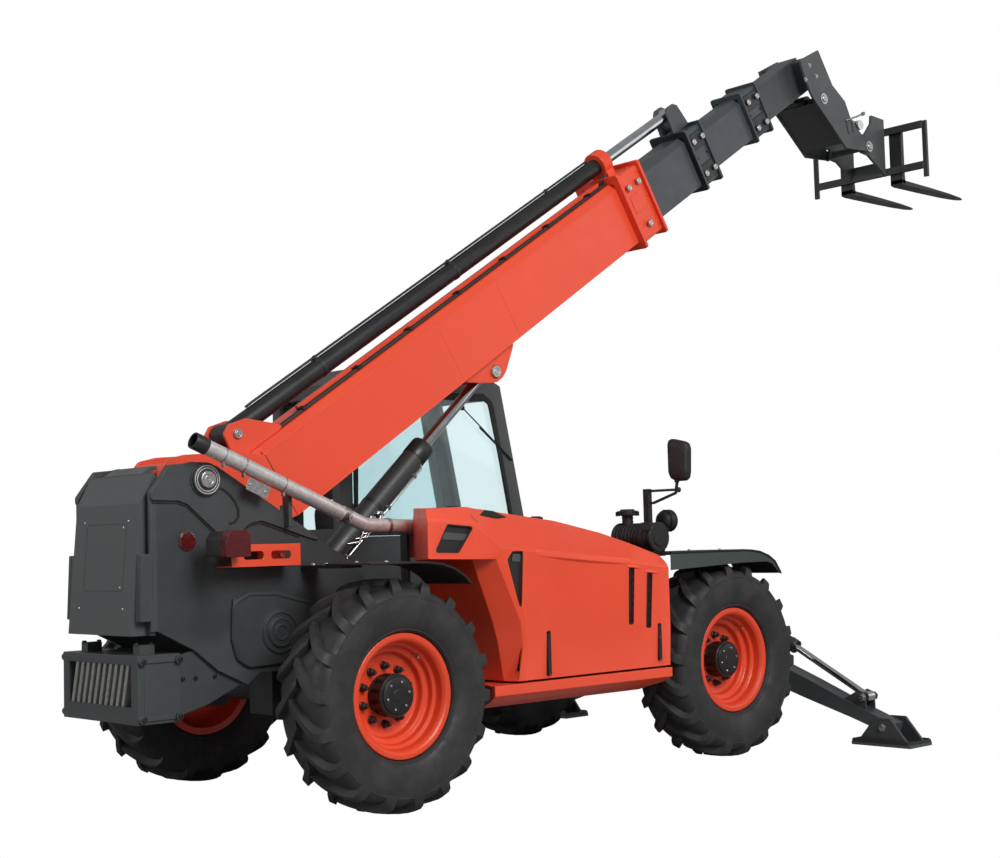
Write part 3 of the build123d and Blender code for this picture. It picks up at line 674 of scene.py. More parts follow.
def make_grille():
    """The grille's box with its opening, bright slats, ribs and bolts round it, and its feet and arms."""
    slats, bolts, box = shapes(3)
    outside = rect(-0.4, 0.4, 0.54, 0.9)
    box.band((-4.225, 0, 0), Y, Z, outside, rect(-0.33, 0.33, 0.63, 0.85), 0.04)
    box.prism((-4.095, 0, 0), Y, Z, outside, 0.22)
    for side in SIDES:
        axis = (0, side, 0)
        for z in GRILLE_ROWS:
            box.box((-4.24, side * 0.405 - 0.005, z - 0.012), (-3.99, side * 0.405 + 0.005, z + 0.012))
            for x in GRILLE_COLUMNS:
                box.disc((x, side * 0.398, z), axis, 28, 0, 22, 28, 22, 28.5, 0)
                bolts.disc((x, side * 0.4265, z), axis, 6, -3, 15, 7, 15, 9.5, 12.8)
        box.box((-4.18, side * 0.28 - 0.035, 0.899), (-4.09, side * 0.28 + 0.035, 0.95))
        box.plate(side * 0.363, GRILLE_ARM, 0.024)
        bolts_at(bolts, [(x, side * 0.28, 0.95) for x in (-4.18, -4.09)], Z, 6, -3, 13, 8, 13, 10, 11)
        bolts_at(bolts, [(x, side * 0.376, 0.76) for x in (-3.96, -3.88, -3.76)], axis, 6, -3, 13, 8, 13, 10, 11)
    box.finish("grille_box", GREY, bevel=0.0025, replaces=("rear_grille",))
    for n in range(SLATS):
        y = -0.27 + n * SLAT_PITCH
        slats.prism((-4.225, 0, 0), Y, Z, [(y + 0.019, 0.63), (y + 0.047, 0.63), (y - 0.013, 0.85), (y - 0.041, 0.85)],
                    0.034)
    slats.finish("grille_slats", LIGHT, bevel=0.0012)
    bolts.finish("grille_bolts", BLACK, bevel=0.0008)


def make_tail_lamps():
    """Red box lamps with a ribbed lens, a black housing behind and a clamp on the bracket."""
    lens_box, housing = shapes(2)
    face = rounded(LAMP_FACE, 0.01, 3)
    for side in SIDES:
        out, back = side * 0.768, side * 0.7
        lens_box.plate((out + back) / 2, face, abs(out - back))
        for n in range(9):
            x = -3.915 + n * 0.016
            lens_box.box((x - 0.0035, out - 0.002, 1.412), (x + 0.0035, out + 0.0015, 1.497))
        for n in range(6):
            y = side * (0.708 + n * 0.0105)
            lens_box.box((-3.9295, y - 0.003, 1.412), (-3.926, y + 0.003, 1.492))
        housing.plate(side * 0.632, rounded(inset(LAMP_FACE, 0.003), 0.01, 3), 0.134)
        housing.band((0, side * 0.698, 0), X, Z, inset(face, -0.0015), inset(face, 0.006), 0.01)
        # clamp arm down to the channel
        housing.prism((-3.755, side * 0.604, 1.43), X, Z, rounded(pad(0.026, 0.026), 0.006, 3), 0.08)
        for x in (-3.775, -3.735):
            housing.disc((x, side * 0.646, 1.43), (0, side, 0), 6, 0, 9, 6, 9, 7, 0)
    lens_box.finish("tail_lamp_lenses", RED_LENS, bevel=0.0012)
    housing.finish("tail_lamp_housings", PLASTIC, bevel=0.002, replaces=("tail_lamps",))


def make_lamp_brackets():
    """Channels with two oblong slots that carry the lamps, bolted to the side plates."""
    shape, holes, bolts = shapes(3)
    for side in SIDES:
        shape.plate(side * 0.56, rect(-3.76, -3.31, 1.345, 1.466), 0.006)
        for x in (-3.62, -3.44):
            holes.plate(side * 0.56, rounded(rect(x - 0.065, x + 0.065, 1.384, 1.428), 0.022, 6), 0.03)
    shape.cut(holes)
    for side in SIDES:
        for z in (1.348, 1.463):
            shape.box((-3.76, side * 0.411, z - 0.003), (-3.31, side * 0.559, z + 0.003))
        shape.box((-3.49, side * 0.4, 1.35), (-3.31, side * 0.416, 1.46))
        bolts_at(bolts, [(x, side * 0.4155, 1.406) for x in (-3.46, -3.34)], (0, side, 0), 6, 0, 12, 8, 12, 10, 10)
    shape.finish("lamp_channels", ORANGE, bevel=0.001, replaces=("lamp_brackets",))
    bolts.finish("lamp_channel_bolts", STEEL, bevel=0.0006)


make_tower()
make_rear_plate()
make_lamp_brackets()
make_frame_details()
make_grille()
make_tail_lamps()


# ---------------------------------------------------------------- hood and pod
# Hood sections, front to back, in mm: X, ridge Y, ridge Z, Z of the crease under the shoulder
HOOD_SECTIONS = (
    (-920, -1110, 1325, 1265), (-1130, -1030, 1412, 1290), (-1300, -940, 1482, 1310), (-1650, -890, 1562, 1352),
    (-2150, -890, 1622, 1400), (-2340, -930, 1640, 1420), (-2560, -1110, 1645, 1560), (-2892, -1110, 1632, 1582),
)
HOOD_OUT, HOOD_IN, HOOD_FOOT, HOOD_SKIN = -1.165, -0.562, 0.645, 0.012
# Room for the rear wheel in mm, its corners in X and Z at three places in Y
WHEEL_CUT_IN = ((-2920, 1362), (-2470, 1345), (-2325, 985), (-2290, 872), (-2225, 600), (-2920, 600))
WHEEL_CUT = (
    (-1175, ((-2920, 1362), (-2380, 1345), (-2205, 985), (-2195, 872), (-2262, 600), (-2920, 600))),
    (-1050, WHEEL_CUT_IN), (-416, WHEEL_CUT_IN),
)
SIDE_CUT_Y, SIDE_CUT_DEEP = -1.15, 0.06   # of the openings through the hood's side
# Cuts seen from above: behind the rear face, which runs diagonally, and before the steered front wheel
REAR_CUT = mm([(-2947, -1239), (-2367, -380), (-3000, -380), (-3000, -1239)])
FRONT_CUT = mm([(-900, -1180), (-990, -1010), (-990, -380), (-700, -380), (-700, -1180)])
REAR_SILL_CUT = mm([(-2424, -1180), (-2414, -1120), (-2360, -1000), (-2330, -690), (-2330, -380), (-2500, -380),
                    (-2500, -1180)])
# Latch slots: X, bottom, top
LATCHES = ((-1.992, 0.66, 0.918), (-1.024, 0.68, 0.91))
# Windows in the hood's side, corners in X and Z; the last two are slots with louvres in them
HOOD_WINDOWS = [mm(corners) for corners in (
    ((-2748, 1546), (-2560, 1530), (-2672, 1391), (-2840, 1397)),
    ((-2262, 1385), (-2182, 1385), (-2205, 1040), (-2300, 1340)),
    ((-1284, 1262), (-1240, 1262), (-1262, 920), (-1300, 920)),
    ((-1120, 1226), (-1076, 1222), (-1104, 890), (-1144, 892)))]
LOUVRES = 7
# Light bands seen inside the first two windows
WINDOW_BANDS = (((-2790, 1466), (-2618, 1455), (-2590, 1490), (-2768, 1506)),
                ((-2252, 1372), (-2192, 1372), (-2194, 1325), (-2262, 1330)))
TOP_OPENING = mm([(-2460, -945, 1647), (-2150, -888, 1623.5), (-2080, -925, 1586), (-2160, -945, 1579),
                  (-2320, -968, 1595)])


def column(corners, bottom, top, shift=0.0):
    shape = Shape()
    shape.rings([[Vector((x + shift, y, z)) for x, y in corners] for z in (bottom, top)])
    return shape


def hood_form(drawn_in):
    """The hood's outer form, or the same drawn in by the skin for its hollow, which is open below."""
    shape, wheel = shapes(2)
    rings = []
    out, foot = HOOD_OUT + drawn_in, HOOD_FOOT - 10 * drawn_in
    for n, (x, ridge_y, ridge_z, crease_z) in enumerate(mm(HOOD_SECTIONS)):
        top, crease = ridge_z - drawn_in, crease_z - drawn_in / 2
        end = -drawn_in if n == 0 else drawn_in if n == len(HOOD_SECTIONS) - 1 else 0
        rings.append([Vector((x + end, y, z)) for y, z in (
            (HOOD_IN + drawn_in, foot), (HOOD_IN + drawn_in, top + 0.008), (ridge_y + drawn_in, top),
            (out + 0.012, crease + 0.01), (out, crease - 0.014), (out, 0.88), (out + 0.012, foot))])
    shape.rings(rings)
    wheel.rings([[Vector((x / 1000 + (drawn_in if x > -2900 else -0.05), y / 1000,
                          z / 1000 + (drawn_in if z > 650 else -0.1))) for x, z in corners]
                 for y, corners in WHEEL_CUT])
    shape.cut(wheel).cut(column(REAR_CUT, 0.5, 1.8, 1.3 * drawn_in))
    return shape.cut(column(FRONT_CUT, 0.5, 1.8, -1.2 * drawn_in))


def make_hood():
    """The hood over the engine: an open shell with windows, slots and latch slots cut through its side."""
    shape, openings = hood_form(0.0).cut(hood_form(HOOD_SKIN)), Shape()
    for corners in HOOD_WINDOWS:
        openings.plate(SIDE_CUT_Y, rounded(corners, 0.012, 4), SIDE_CUT_DEEP)
    for x, low, high in LATCHES:
        openings.plate(SIDE_CUT_Y, rounded(rect(x - 0.014, x + 0.014, low, high), 0.013), SIDE_CUT_DEEP)
    shape.cut(openings)
    shape.finish("hood_shell", ORANGE, "hood", replaces=("engine_hood",), smooth=24)
    backs, top_slot, brows = shapes(3)
    for corners in HOOD_WINDOWS:
        mid_x, mid_z = (sum(c[i] for c in corners) / 4 for i in (0, 1))
        backs.plate(-1.1505, [(mid_x + (x - mid_x) * 1.14, mid_z + (z - mid_z) * 1.04) for x, z in corners], 0.004)
    for x, low, high in LATCHES:
        backs.box((x - 0.025, -1.14, low - 0.008), (x + 0.025, -1.134, high + 0.008))
        backs.box((x - 0.009, -1.162, low + 0.026), (x + 0.009, -1.136, high - 0.026))
    backs.finish("hood_grilles", PLASTIC, "hood", 0.0015)
    # the dark slot in the hood's top
    out = Vector((0, -0.63, 0.78))
    top_slot.rings([[Vector(p) + out * step for p in TOP_OPENING] for step in (-0.004, 0.003)])
    top_slot.finish("hood_top_opening", SEAL, "hood")
    # the long brow over the shallow scallop in the side, and the small hoods over the side slots
    rings = []
    for n in range(13):
        s = n / 12
        x, z, proud = -2.08 + s * 0.8, 1.38 - s * 0.074, 0.002 + 0.012 * sin(pi * s) ** 1.5
        rings.append([Vector((x, HOOD_OUT + y, z + up)) for y, up in (
            (0.006, 0.02), (-proud * 0.5, 0.006), (-proud, -0.022), (0.006, -0.03 - proud))])
    brows.rings(rings)
    for corners in HOOD_WINDOWS[2:]:
        left, top = corners[0]
        rings = []
        for s, proud in ((0.0, 0.002), (0.35, 0.009), (0.75, 0.01), (1.0, 0.003)):
            x, z = left - 0.02 + s * 0.11, top + 0.01 - 0.012 * s
            rings.append([Vector((x, HOOD_OUT + y, z + up)) for y, up in (
                (0.002, -0.005), (-proud, -0.004), (-proud * 0.8, 0.006), (0.002, 0.016))])
        brows.rings(rings)
    brows.finish("hood_slot_brows", ORANGE, "hood", 0.002, smooth=50)


def make_pod():
    """Sill beam with a bevelled underside, inner wall the hood closes on, hinges, and the shelf before the hood, black
    as painted shade.
    """
    shape, hinges = shapes(2)
    sill = mm([(-400, 470), (-950, 490), (-1105, 540), (-1161, 575), (-1161, 632), (-400, 632)])
    shape.rings([[Vector((x, y, z)) for y, z in sill] for x in (-2.425, -0.9)])
    shape.cut(column(FRONT_CUT, 0.4, 0.7)).cut(column(REAR_SILL_CUT, 0.4, 0.7))
    shape.plate(-0.55, mm([(-2130, 630), (-1020, 630), (-1020, 1270), (-1310, 1400), (-1810, 1505), (-2260, 1580),
                            (-2480, 1604), (-2480, 1400), (-2400, 1400)]), 0.012)
    for x in (-1.95, -1.35):
        shape.box((x - 0.04, -0.94, 0.63), (x + 0.04, -0.64, 0.648))
        shape.box((x - 0.04, -0.556, 0.63), (x + 0.04, -0.4, 0.7))
    shape.box((-0.984, -0.76, 0.632), (-0.972, -0.64, 1.322))
    shape.box((-1.0, -0.76, 0.626), (-0.962, -0.64, 0.64))
    shape.finish("pod_beam", ORANGE, bevel=0.003, replaces=("pod_frame",))
    # the shelf before the hood takes the hinges' black as painted shade
    hinges.box((-0.984, -0.93, 1.322), (-0.676, -0.64, 1.334))
    for x in (-2.18, -1.48):
        hinges.lathe((x - 0.055, -0.56, 1.655 - (x + 2.18) * 0.1), X, 20,
                     0, 0, 0, 8, 20, 8, 20, 13, 90, 13, 90, 8, 110, 8, 110.5, 0)
    hinges.finish("hood_hinges_and_shaded_shelf", SEAL, bevel=0.0008)


def make_hood_trim():
    """Rubber edges round the hood's openings, light bands in the large ones and louvres in the slots."""
    seals, bands = shapes(2)
    for n, corners in enumerate(HOOD_WINDOWS):
        edge = rounded(corners, 0.012, 4)
        seals.band((0, -1.1645, 0), X, Z, inset(edge, -0.0035), inset(edge, 0.0035), 0.005)
        for k in range(LOUVRES if n > 1 else 0):
            s = (k + 0.5) / LOUVRES
            (x0, z0), (x1, z1) = ([corners[b][i] * (1 - s) + corners[a][i] * s for i in (0, 1)]
                                  for a, b in ((0, 3), (1, 2)))
            seals.plate(-1.157, [(x0, z0 - 0.003), (x1, z1 - 0.003), (x1, z1 + 0.003), (x0, z0 + 0.003)], 0.006)
    for corners in WINDOW_BANDS:
        bands.plate(-1.156, mm(corners), 0.003)
    seals.finish("hood_window_seals", SEAL, "hood", 0.0008)
    bands.finish("hood_window_bands", CHARCOAL_PLASTIC, "hood", 0.0005)


def make_latches():
    """Hood latches: a long lever in its slot with a red lock button."""
    levers, buttons = shapes(2)
    for x, low, high in LATCHES:
        levers.plate(-1.166, rounded(rect(x - 0.0105, x + 0.0105, low + 0.01, high - 0.01), 0.008, 4), 0.006)
        edge = rounded(rect(x - 0.016, x + 0.016, low - 0.002, high + 0.002), 0.014)
        levers.band((0, -1.166, 0), X, Z, edge, inset(edge, 0.0035), 0.004)
        levers.disc((x, -1.168, high - 0.045), -Y, 20, 0, 8, 3, 7.5, 3.5, 0)
        buttons.disc((x, -1.168, (low + high) / 2 + 0.028), -Y, 20, 0, 7.5, 3, 7, 3.6, 0)
    levers.finish("hood_latches", PLASTIC, "hood", 0.0008)
    buttons.finish("hood_latch_buttons", RED_LENS, "hood", 0.0004)


make_hood()
make_pod()
make_hood_trim()
make_latches()


# ---------------------------------------------------------------- guards, exhaust, air cleaner, lamp, mirror
RIMS_Y = (1.166, 0.784)
GUARD_IN, GUARD_OUT, GUARD_STEP = 0.78, 1.17, 1.01   # in Y; the step is where the front right one is cut back
EXHAUST = (Vector((-2.311, -0.5, 1.542)), Vector((-2.804, -0.5, 1.561)), Vector((-3.953, -0.5, 2.029)))
PIPE_R, INSIDE_CLAMP = 0.042, 41.5   # the second in mm, just inside the pipe's skin
CLEANER_X, CLEANER_Z, INTAKE_Y = -0.8, 1.445, -0.72
CAP_RIBS, CAP_R = 24, 0.0745
LAMP_Y, LAMP_Z = -0.915, 1.55
MIRROR_HEAD = mm([(-1105, 2065), (-1095, 2040), (-1095, 1850), (-1115, 1810), (-1150, 1796), (-1215, 1796),
                  (-1245, 1810), (-1255, 1850), (-1262, 2000), (-1250, 2035), (-1215, 2050), (-1125, 2070)])
MIRROR_MIDDLE = Vector((-1.176, 1.93))


def make_guards():
    """Grey skirts under the guards' outer edges, rolled rims along them and bolts on their brackets."""
    skirts, rims, bolts, sheets = shapes(4)
    for side in SIDES:
        for x, start, tip, skirt in ((-0.255, -0.64, (0.49, 1.18), True), (-3.055, -0.25, (0.48, 1.215), False)):
            top = [(x + start, 1.345), (x + 0.08, 1.345), (x + 0.17, 1.341), (x + 0.26, 1.33), (x + 0.35, 1.302),
                   (x + 0.42, 1.262), (x + tip[0] - 0.01, tip[1] + 0.002)]
            line = [(a, b + 0.001) for a, b in top]
            notched = skirt and side < 0
            runs = [(GUARD_IN, line)]
            if notched:
                runs = [(GUARD_IN, [(x - 0.33, 1.346)] + line[1:]), (GUARD_STEP, line[:1] + [(x - 0.328, 1.346)])]
            for inner, run in runs:
                sheets.ribbon((0, side * (inner + GUARD_OUT) / 2, 0), X, Z, run, 0.01, GUARD_OUT - inner)
            sheets.box((x - 0.14, side * 0.398, 1.322), (x - 0.02, side * 0.81, 1.34))
            for y in RIMS_Y[:1] if notched else RIMS_Y:
                rims.pipe([(a, side * y, b - 0.0015) for a, b in top], 0.0065, 10)
            if skirt:
                sheets.box((x - 0.14, side * 0.398, 0.862), (x - 0.02, side * 0.416, 1.338))
                low = [(x + start, 1.235), (x + 0.08, 1.262), (x + 0.17, 1.262), (x + 0.26, 1.262),
                       (x + 0.335, 1.262), (x + 0.392, 1.245), (x + tip[0] - 0.03, tip[1] + 0.006)]
                skirts.rings([[Vector((a, side * 1.1605, b)), Vector((a, side * 1.1655, b)),
                               Vector((c, side * 1.1655, d - 0.004)), Vector((c, side * 1.1605, d - 0.004))]
                              for (a, b), (c, d) in zip(low, top)])
        for x in (-0.335, -3.135):
            bolts_at(bolts, [(x, side * y, 1.34) for y in (0.44, 0.56, 0.76)], Z, 6, 0, 12, 8.5, 12, 10.5, 10)
            bolts_at(bolts, [(x, side * y, 1.352) for y in (0.84, 1.1)], Z, 12, 0, 13, 2, 13, 2, 9, 7, 9, 8, 0)
    sheets.finish("guard_sheets", PLASTIC, bevel=0.0015, replaces=("mudguards",), smooth=50)
    skirts.finish("guard_skirts", GREY, bevel=0.001)
    rims.finish("guard_rims", SEAL, smooth=60)
    bolts.finish("guard_bolts", STEEL, bevel=0.0006)


def make_exhaust():
    """The bent pipe with its clamps, open end, plate and brackets, and the pleated louvre beside its lower end."""
    straps, dark, plates, pipe, brackets, pleats = shapes(6)
    start, bend, end = EXHAUST
    run, level = (end - bend).normalized(), (bend - start).normalized()
    for along in (0.62, 0.9, 1.04):
        at = bend + run * along
        straps.clamp(at, run, 40, 4.5, INSIDE_CLAMP, 44.5)
        straps.prism(at + Vector((0, -0.002, -0.05)), run, Z, rect(-0.006, 0.006, -0.016, 0.01), 0.022)
    joint = bend + run * 0.16
    for step in (-0.022, 0.022):
        straps.clamp(joint + run * step, run, 40, 4, INSIDE_CLAMP, 47)
    straps.clamp(joint, run, 40, 19, INSIDE_CLAMP, 45)
    straps.pipe([joint + Vector((0, -0.052, 0.02)), joint + Vector((0, -0.052, -0.034))], 0.006, 10)
    for step in (0.06, 0.33):
        straps.clamp(start + level * step, level, 40, 12, INSIDE_CLAMP, 46)
    straps.finish("exhaust_straps", SILVER, bevel=0.0006)
    dark.lathe(end - run * 0.085, run, 40, 0, INSIDE_CLAMP, 0, 47, 82, 47, 85, 45.5, 85, 38, 30, 37.5, 30, 0)
    dark.finish("exhaust_end", BLACK, bevel=0.0008)
    at = bend + run * 0.8 + Vector((0, 0.02, -0.09))
    plates.prism(at - Y * 0.024, run, run.cross(Y), rounded(pad(0.075, 0.035), 0.008, 3), 0.004)
    bolts_at(plates, [at - Y * 0.027 + run * step for step in (-0.055, 0.055)], -Y, 6, 0, 8, 5, 8, 6, 0)
    plates.finish("exhaust_plate", SILVER, bevel=0.0006)
    pipe.pipe([start, bend - level * 0.027, bend - level * 0.009 + Z * 0.0015, bend + run * 0.009 + Z * 0.0015,
               bend + run * 0.027, end - run * 0.07], PIPE_R, 48)
    for x, low, high in ((-3.3, 1.56, 1.79), (-2.45, 1.11, 1.55)):
        brackets.box((x - 0.012, -0.46, low), (x + 0.012, -0.4, high))
        brackets.box((x - 0.03, -0.408, low), (x + 0.03, -0.4, low + 0.12))
    pipe.finish("exhaust_tube", STEEL, replaces=("exhaust_pipe",), smooth=60)
    brackets.finish("exhaust_brackets", GREY, bevel=0.001)
    for n in range(9):
        pleats.prism((-2.44 + n * 0.013, -0.5, 1.44), Y, Z, rounded(pad(0.055, 0.075), 0.012, 3), 0.006)
    pleats.box((-2.442, -0.54, 1.372), (-2.334, -0.46, 1.508))
    pleats.finish("exhaust_louvre", DARK_RED, bevel=0.0008)


def make_air_cleaner():
    """Canister with ribs, clips and an end cover, and the intake with its ribbed cap."""
    shape = Shape()
    shape.disc((CLEANER_X, -0.65, CLEANER_Z), -Y, 56, 0, 84, 6, 98, 24, 98, 26, 90, 200, 90, 202, 98, 219, 98, 221, 90,
               320, 90, 322, 98, 339, 98, 344, 92, 344, 61, 350, 58)
    shape.disc((CLEANER_X, INTAKE_Y, 1.5), Z, 36, 0, 36, 93, 36, 93.1, 0)
    shape.disc((CLEANER_X, INTAKE_Y, 1.593), Z, 44, 0, 74, 4, 78, 10, 78, 11, 71, 26, 71, 31, 48, 39, 44, 40, 0)
    for y in (-0.955, -0.93, -0.835, -0.805, -0.775, -0.745, -0.7):
        shape.lathe((CLEANER_X, y, CLEANER_Z), Y, 48, -5, 89.5, -3, 94.5, 3, 94.5, 5, 89.5)
    shape.disc((CLEANER_X, -0.997, CLEANER_Z), -Y, 40, -4, 58, 0, 56, 2.5, 50, 2.5, 16, 2.8, 0)
    for angle in (0.5, 2.6, 4.7):
        out = Vector((cos(angle), 0, sin(angle)))
        at = Vector((CLEANER_X, -0.972, CLEANER_Z)) + out * 0.099
        shape.prism(at + out * 0.002, Y, out.cross(Y), rounded(pad(0.026, 0.012), 0.005, 3), 0.006)
    for z in (1.53, 1.552, 1.574):
        shape.lathe((CLEANER_X, INTAKE_Y, z), Z, 32, -4, 34.5, -3, 38.5, 3, 38.5, 4, 34.5)
    for k in range(CAP_RIBS):
        a = 2 * pi * k / CAP_RIBS
        shape.prism((CLEANER_X + CAP_R * cos(a), INTAKE_Y + CAP_R * sin(a), 1.6), (-sin(a), cos(a), 0), Z,
                    rect(-0.0035, 0.0035, -0.012, 0.016), 0.006)
    shape.finish("air_cleaner_ribbed", PLASTIC, bevel=0.0012, replaces=("air_cleaner",))


def make_lamp_and_mirror():
    """Work lamp with a bezel and a fluted lens, mirror head with its glass and stays."""
    bezel, front, shell, face = shapes(4)
    bezel.lathe((-0.678, LAMP_Y, LAMP_Z), X, 48, 0, 0, 0, 60, 20, 60, 20, 70, 56, 70, 56, 60, 58, 0)
    bezel.box((-0.69, -0.93, 1.334), (-0.678, -0.9, 1.526))
    bezel.box((-0.69, -0.93, 1.504), (-0.65, -0.9, 1.526))
    bezel.lathe((-0.62, LAMP_Y, LAMP_Z), X, 44, -4, 50, -4, 73, 10, 73, 16, 69, 16, 63, 10, 60, 4, 50)
    bezel.disc((-0.674, LAMP_Y, LAMP_Z), -X, 40, -6, 61.5, 4, 58, 14, 46, 20, 28, 22, 0)
    for z in (1.612, 1.488):
        bezel.box((-0.66, -0.927, z - 0.01), (-0.628, -0.903, z + 0.01))
    bezel.finish("work_lamp_body", PLASTIC, bevel=0.001, replaces=("work_lamp",))
    front.disc((-0.616, LAMP_Y, LAMP_Z), X, 40, -8, 62, 4, 62, 10, 50, 14, 28, 15, 0)
    front.finish("work_lamp_lens", LAMP_GLASS, bevel=0.0005)
    shell.lathe((CLEANER_X, -0.88, CLEANER_Z), -Y, 48, 0, 91, 0, 99.5, 40, 99.5, 40, 91)
    shell.box((-0.818, -0.923, 1.537), (-0.782, -0.877, 1.757))
    shell.box((-0.808, -1.15, 1.735), (-0.792, -0.905, 1.751))
    shell.ribbon((-0.8, 0, 0), Y, Z, mm([(-905, 1665), (-952, 1665), (-1142, 1722), (-1160, 1806)]), 0.016, 0.016)
    edge = rounded(inset(MIRROR_HEAD, 0.001), 0.03, 3)
    # the shell swells towards the rear and holds the glass in its front
    swell = ((-0.7735, 0.97), (-0.7725, 1.0), (-0.8, 1.0), (-0.816, 0.955), (-0.8255, 0.86), (-0.8275, 0.6))
    shell.rings([[Vector((x, *(MIRROR_MIDDLE + (p - MIRROR_MIDDLE) * scale))) for p in edge] for x, scale in swell])
    shell.disc((-0.8, -1.16, 1.742), X, 20, -14, 17, 14, 17)
    shell.lathe((-0.8, -1.155, 1.8), Z, 20, -12, 10, -10, 16, 6, 16, 12, 10)
    shell.finish("mirror_head", PLASTIC, bevel=0.0015, replaces=("mirror",), smooth=50)
    face.prism((-0.7722, 0, 0), Y, Z, inset(edge, 0.01), 0.0012)
    face.finish("mirror_glass", MIRROR)


make_guards()
make_exhaust()
make_air_cleaner()
make_lamp_and_mirror()


# ---------------------------------------------------------------- boom
# The sections' tubes: half width, bottom, top, how proud the flanges at their front ends stand
SECTION_1 = (0.16, -0.59, -0.12, 0.055)
SECTION_2 = (0.134, -0.56, -0.16, 0.046)
SECTION_3 = (0.11, -0.53, -0.185, 0.04)
TAIL_FROM, TAIL_TURN, TAIL_STEPS = radians(100), radians(95), 14   # of the cover round the boom's tail
BARREL_OFF = 0.015   # the extension cylinder's line, off the boom's


def across_boom(along, corners):
    return [boom_at(along, off, across) for across, off in corners]


def tube_corners(half, bottom, top, chamfer):
    return [(-half, bottom), (half, bottom), (half, top - chamfer), (half - chamfer, top), (chamfer - half, top),
            (-half, top - chamfer)]


def add_tube(shape, section, wall, tail, front):
    """A boom tube with chamfered upper edges, open at both ends."""
    half, bottom, top = section[:3]
    outer = tube_corners(half, bottom, top, 0.045)
    inner = tube_corners(half - wall, bottom + wall, top - wall, 0.045 - wall / 2)
    shape.rings([across_boom(tail, outer), across_boom(front, outer), across_boom(front, inner),
                 across_boom(tail, inner)], loop=True)


def let_out(section, by):
    half, bottom, top = section[:3]
    return rect(-half - by, half + by, bottom - by, top + by)


def add_bands(shape, section, start, end, flange, waist):
    """A collar round a tube's front end: two flanges this wide, and between them a band that stands less proud."""
    inner = rounded(let_out(section, -0.003), 0.02, 4)
    for first, last, proud in ((start, start + flange, section[3]),
                               (start + flange - 0.001, end - flange + 0.001, waist), (end - flange, end, section[3])):
        outer = rounded(let_out(section, proud), 0.02, 4)
        shape.rings([across_boom(first, outer), across_boom(last, outer), across_boom(last, inner),
                     across_boom(first, inner)], loop=True)


def boom_plate(shape, y, corners, thick):
    shape.prism(boom_at(0, 0, y), UP_BOOM, OFF_BOOM, corners, thick)


def make_boom():
    """The outer section with its ears, bosses and steady ring, the extension barrel, and the two middle sections."""
    outer, barrel, second, third = shapes(4)
    add_tube(outer, SECTION_1, 0.012, 0.56, 4.47)
    add_bands(outer, SECTION_1, 4.19, 4.48, 0.025, 0.026)
    ear = rounded(mm([(-150, 0), (-110, -110), (330, -540), (570, -589), (570, -171), (420, -60), (110, 110), (0, 150),
                      (-110, 110)]), [0.06, 0.02, 0.02, 0.0, 0.0, 0.03, 0.03, 0.06, 0.06])
    tail_lug = rounded(mm([(400, -119), (820, -119), (600, 60), (480, 90), (420, 60)]), 0.025, 4)
    lift_lug = mm([(2150, -588), (2760, -588), (2550, -735), (2500, -752), (2440, -752), (2380, -725)])
    for out, corners, thick in ((0.148, ear, 0.024), (0.1, tail_lug, 0.02)):
        for side in SIDES:
            boom_plate(outer, side * out, corners, thick)
    boom_plate(outer, 0, mm([(400, -119), (572, -119), (572, -175), (400, -175)]), 0.272)
    for side in SIDES:
        boom_plate(outer, side * 0.095, rounded(lift_lug, 0.03, 4), 0.028)
    boom_plate(outer, -0.02, mm([(1000, -121), (4185, -121), (4185, -85), (1000, -85)]), 0.03)
    # ring that steadies the extension cylinder, on a post
    for side in SIDES:
        boom_plate(outer, side * 0.0795 * 0.9, mm([(4262, -96), (4343, -96), (4343, 5), (4262, 5)]), 0.024)
    outer.lathe(boom_at(4.255, BARREL_OFF), UP_BOOM, 48, 0, 77, 0, 94, 4, 98, 91, 98, 95, 94, 95, 77)
    outer.finish("boom_outer_tube", ORANGE, "boom_outer", 0.003, ("boom_outer",), 35)
    barrel.lathe(boom_at(0.5, BARREL_OFF), UP_BOOM, 48, 30, 0, 30, 60, 3790, 60, 3795, 65.5, 3845, 65.5, 3850, 65.5,
                 3850, 43)
    barrel.disc(boom_at(0.5, BARREL_OFF, -0.08), Y, 44, 0, 62, 4, 66, 156, 66, 160, 62)
    for along in (1.3, 2.6):
        barrel.clamp(boom_at(along, BARREL_OFF), UP_BOOM, 48, 15, 59, 63.5)
    barrel.pipe([boom_at(0.7, 0.086), boom_at(0.76, 0.088), boom_at(4.18, 0.088), boom_at(4.215, 0.07)], 0.008)
    for along in (1.3, 2.6, 3.7):
        barrel.disc(boom_at(along, 0.075), OFF_BOOM, 16, -4, 14, 22, 14, 24, 0)
    barrel.finish("extension_barrel_round", BLACK, "boom_outer", 0.0015, ("extension_barrel",), 45)
    add_tube(second, SECTION_2, 0.01, 1.25, 5.33)
    add_bands(second, SECTION_2, 5.12, 5.34, 0.022, 0.022)
    for y in (-0.06, 0.06):
        boom_plate(second, y, rounded(mm([(5125, -125), (5335, -125), (5290, 50), (5250, 78), (5170, 78), (5140, 50)]),
                                      0.02, 4), 0.016)
    second.finish("section_2_tube", BOOM_GREY, "boom_second", 0.002, ("boom_section_2",), 35)
    add_tube(third, SECTION_3, 0.008, 2.1, 6.18)
    add_bands(third, SECTION_3, 5.945, 6.19, 0.02, 0.018)
    third.finish("section_3_tube", BOOM_GREY, "boom_third", 0.002, ("boom_section_3",), 35)


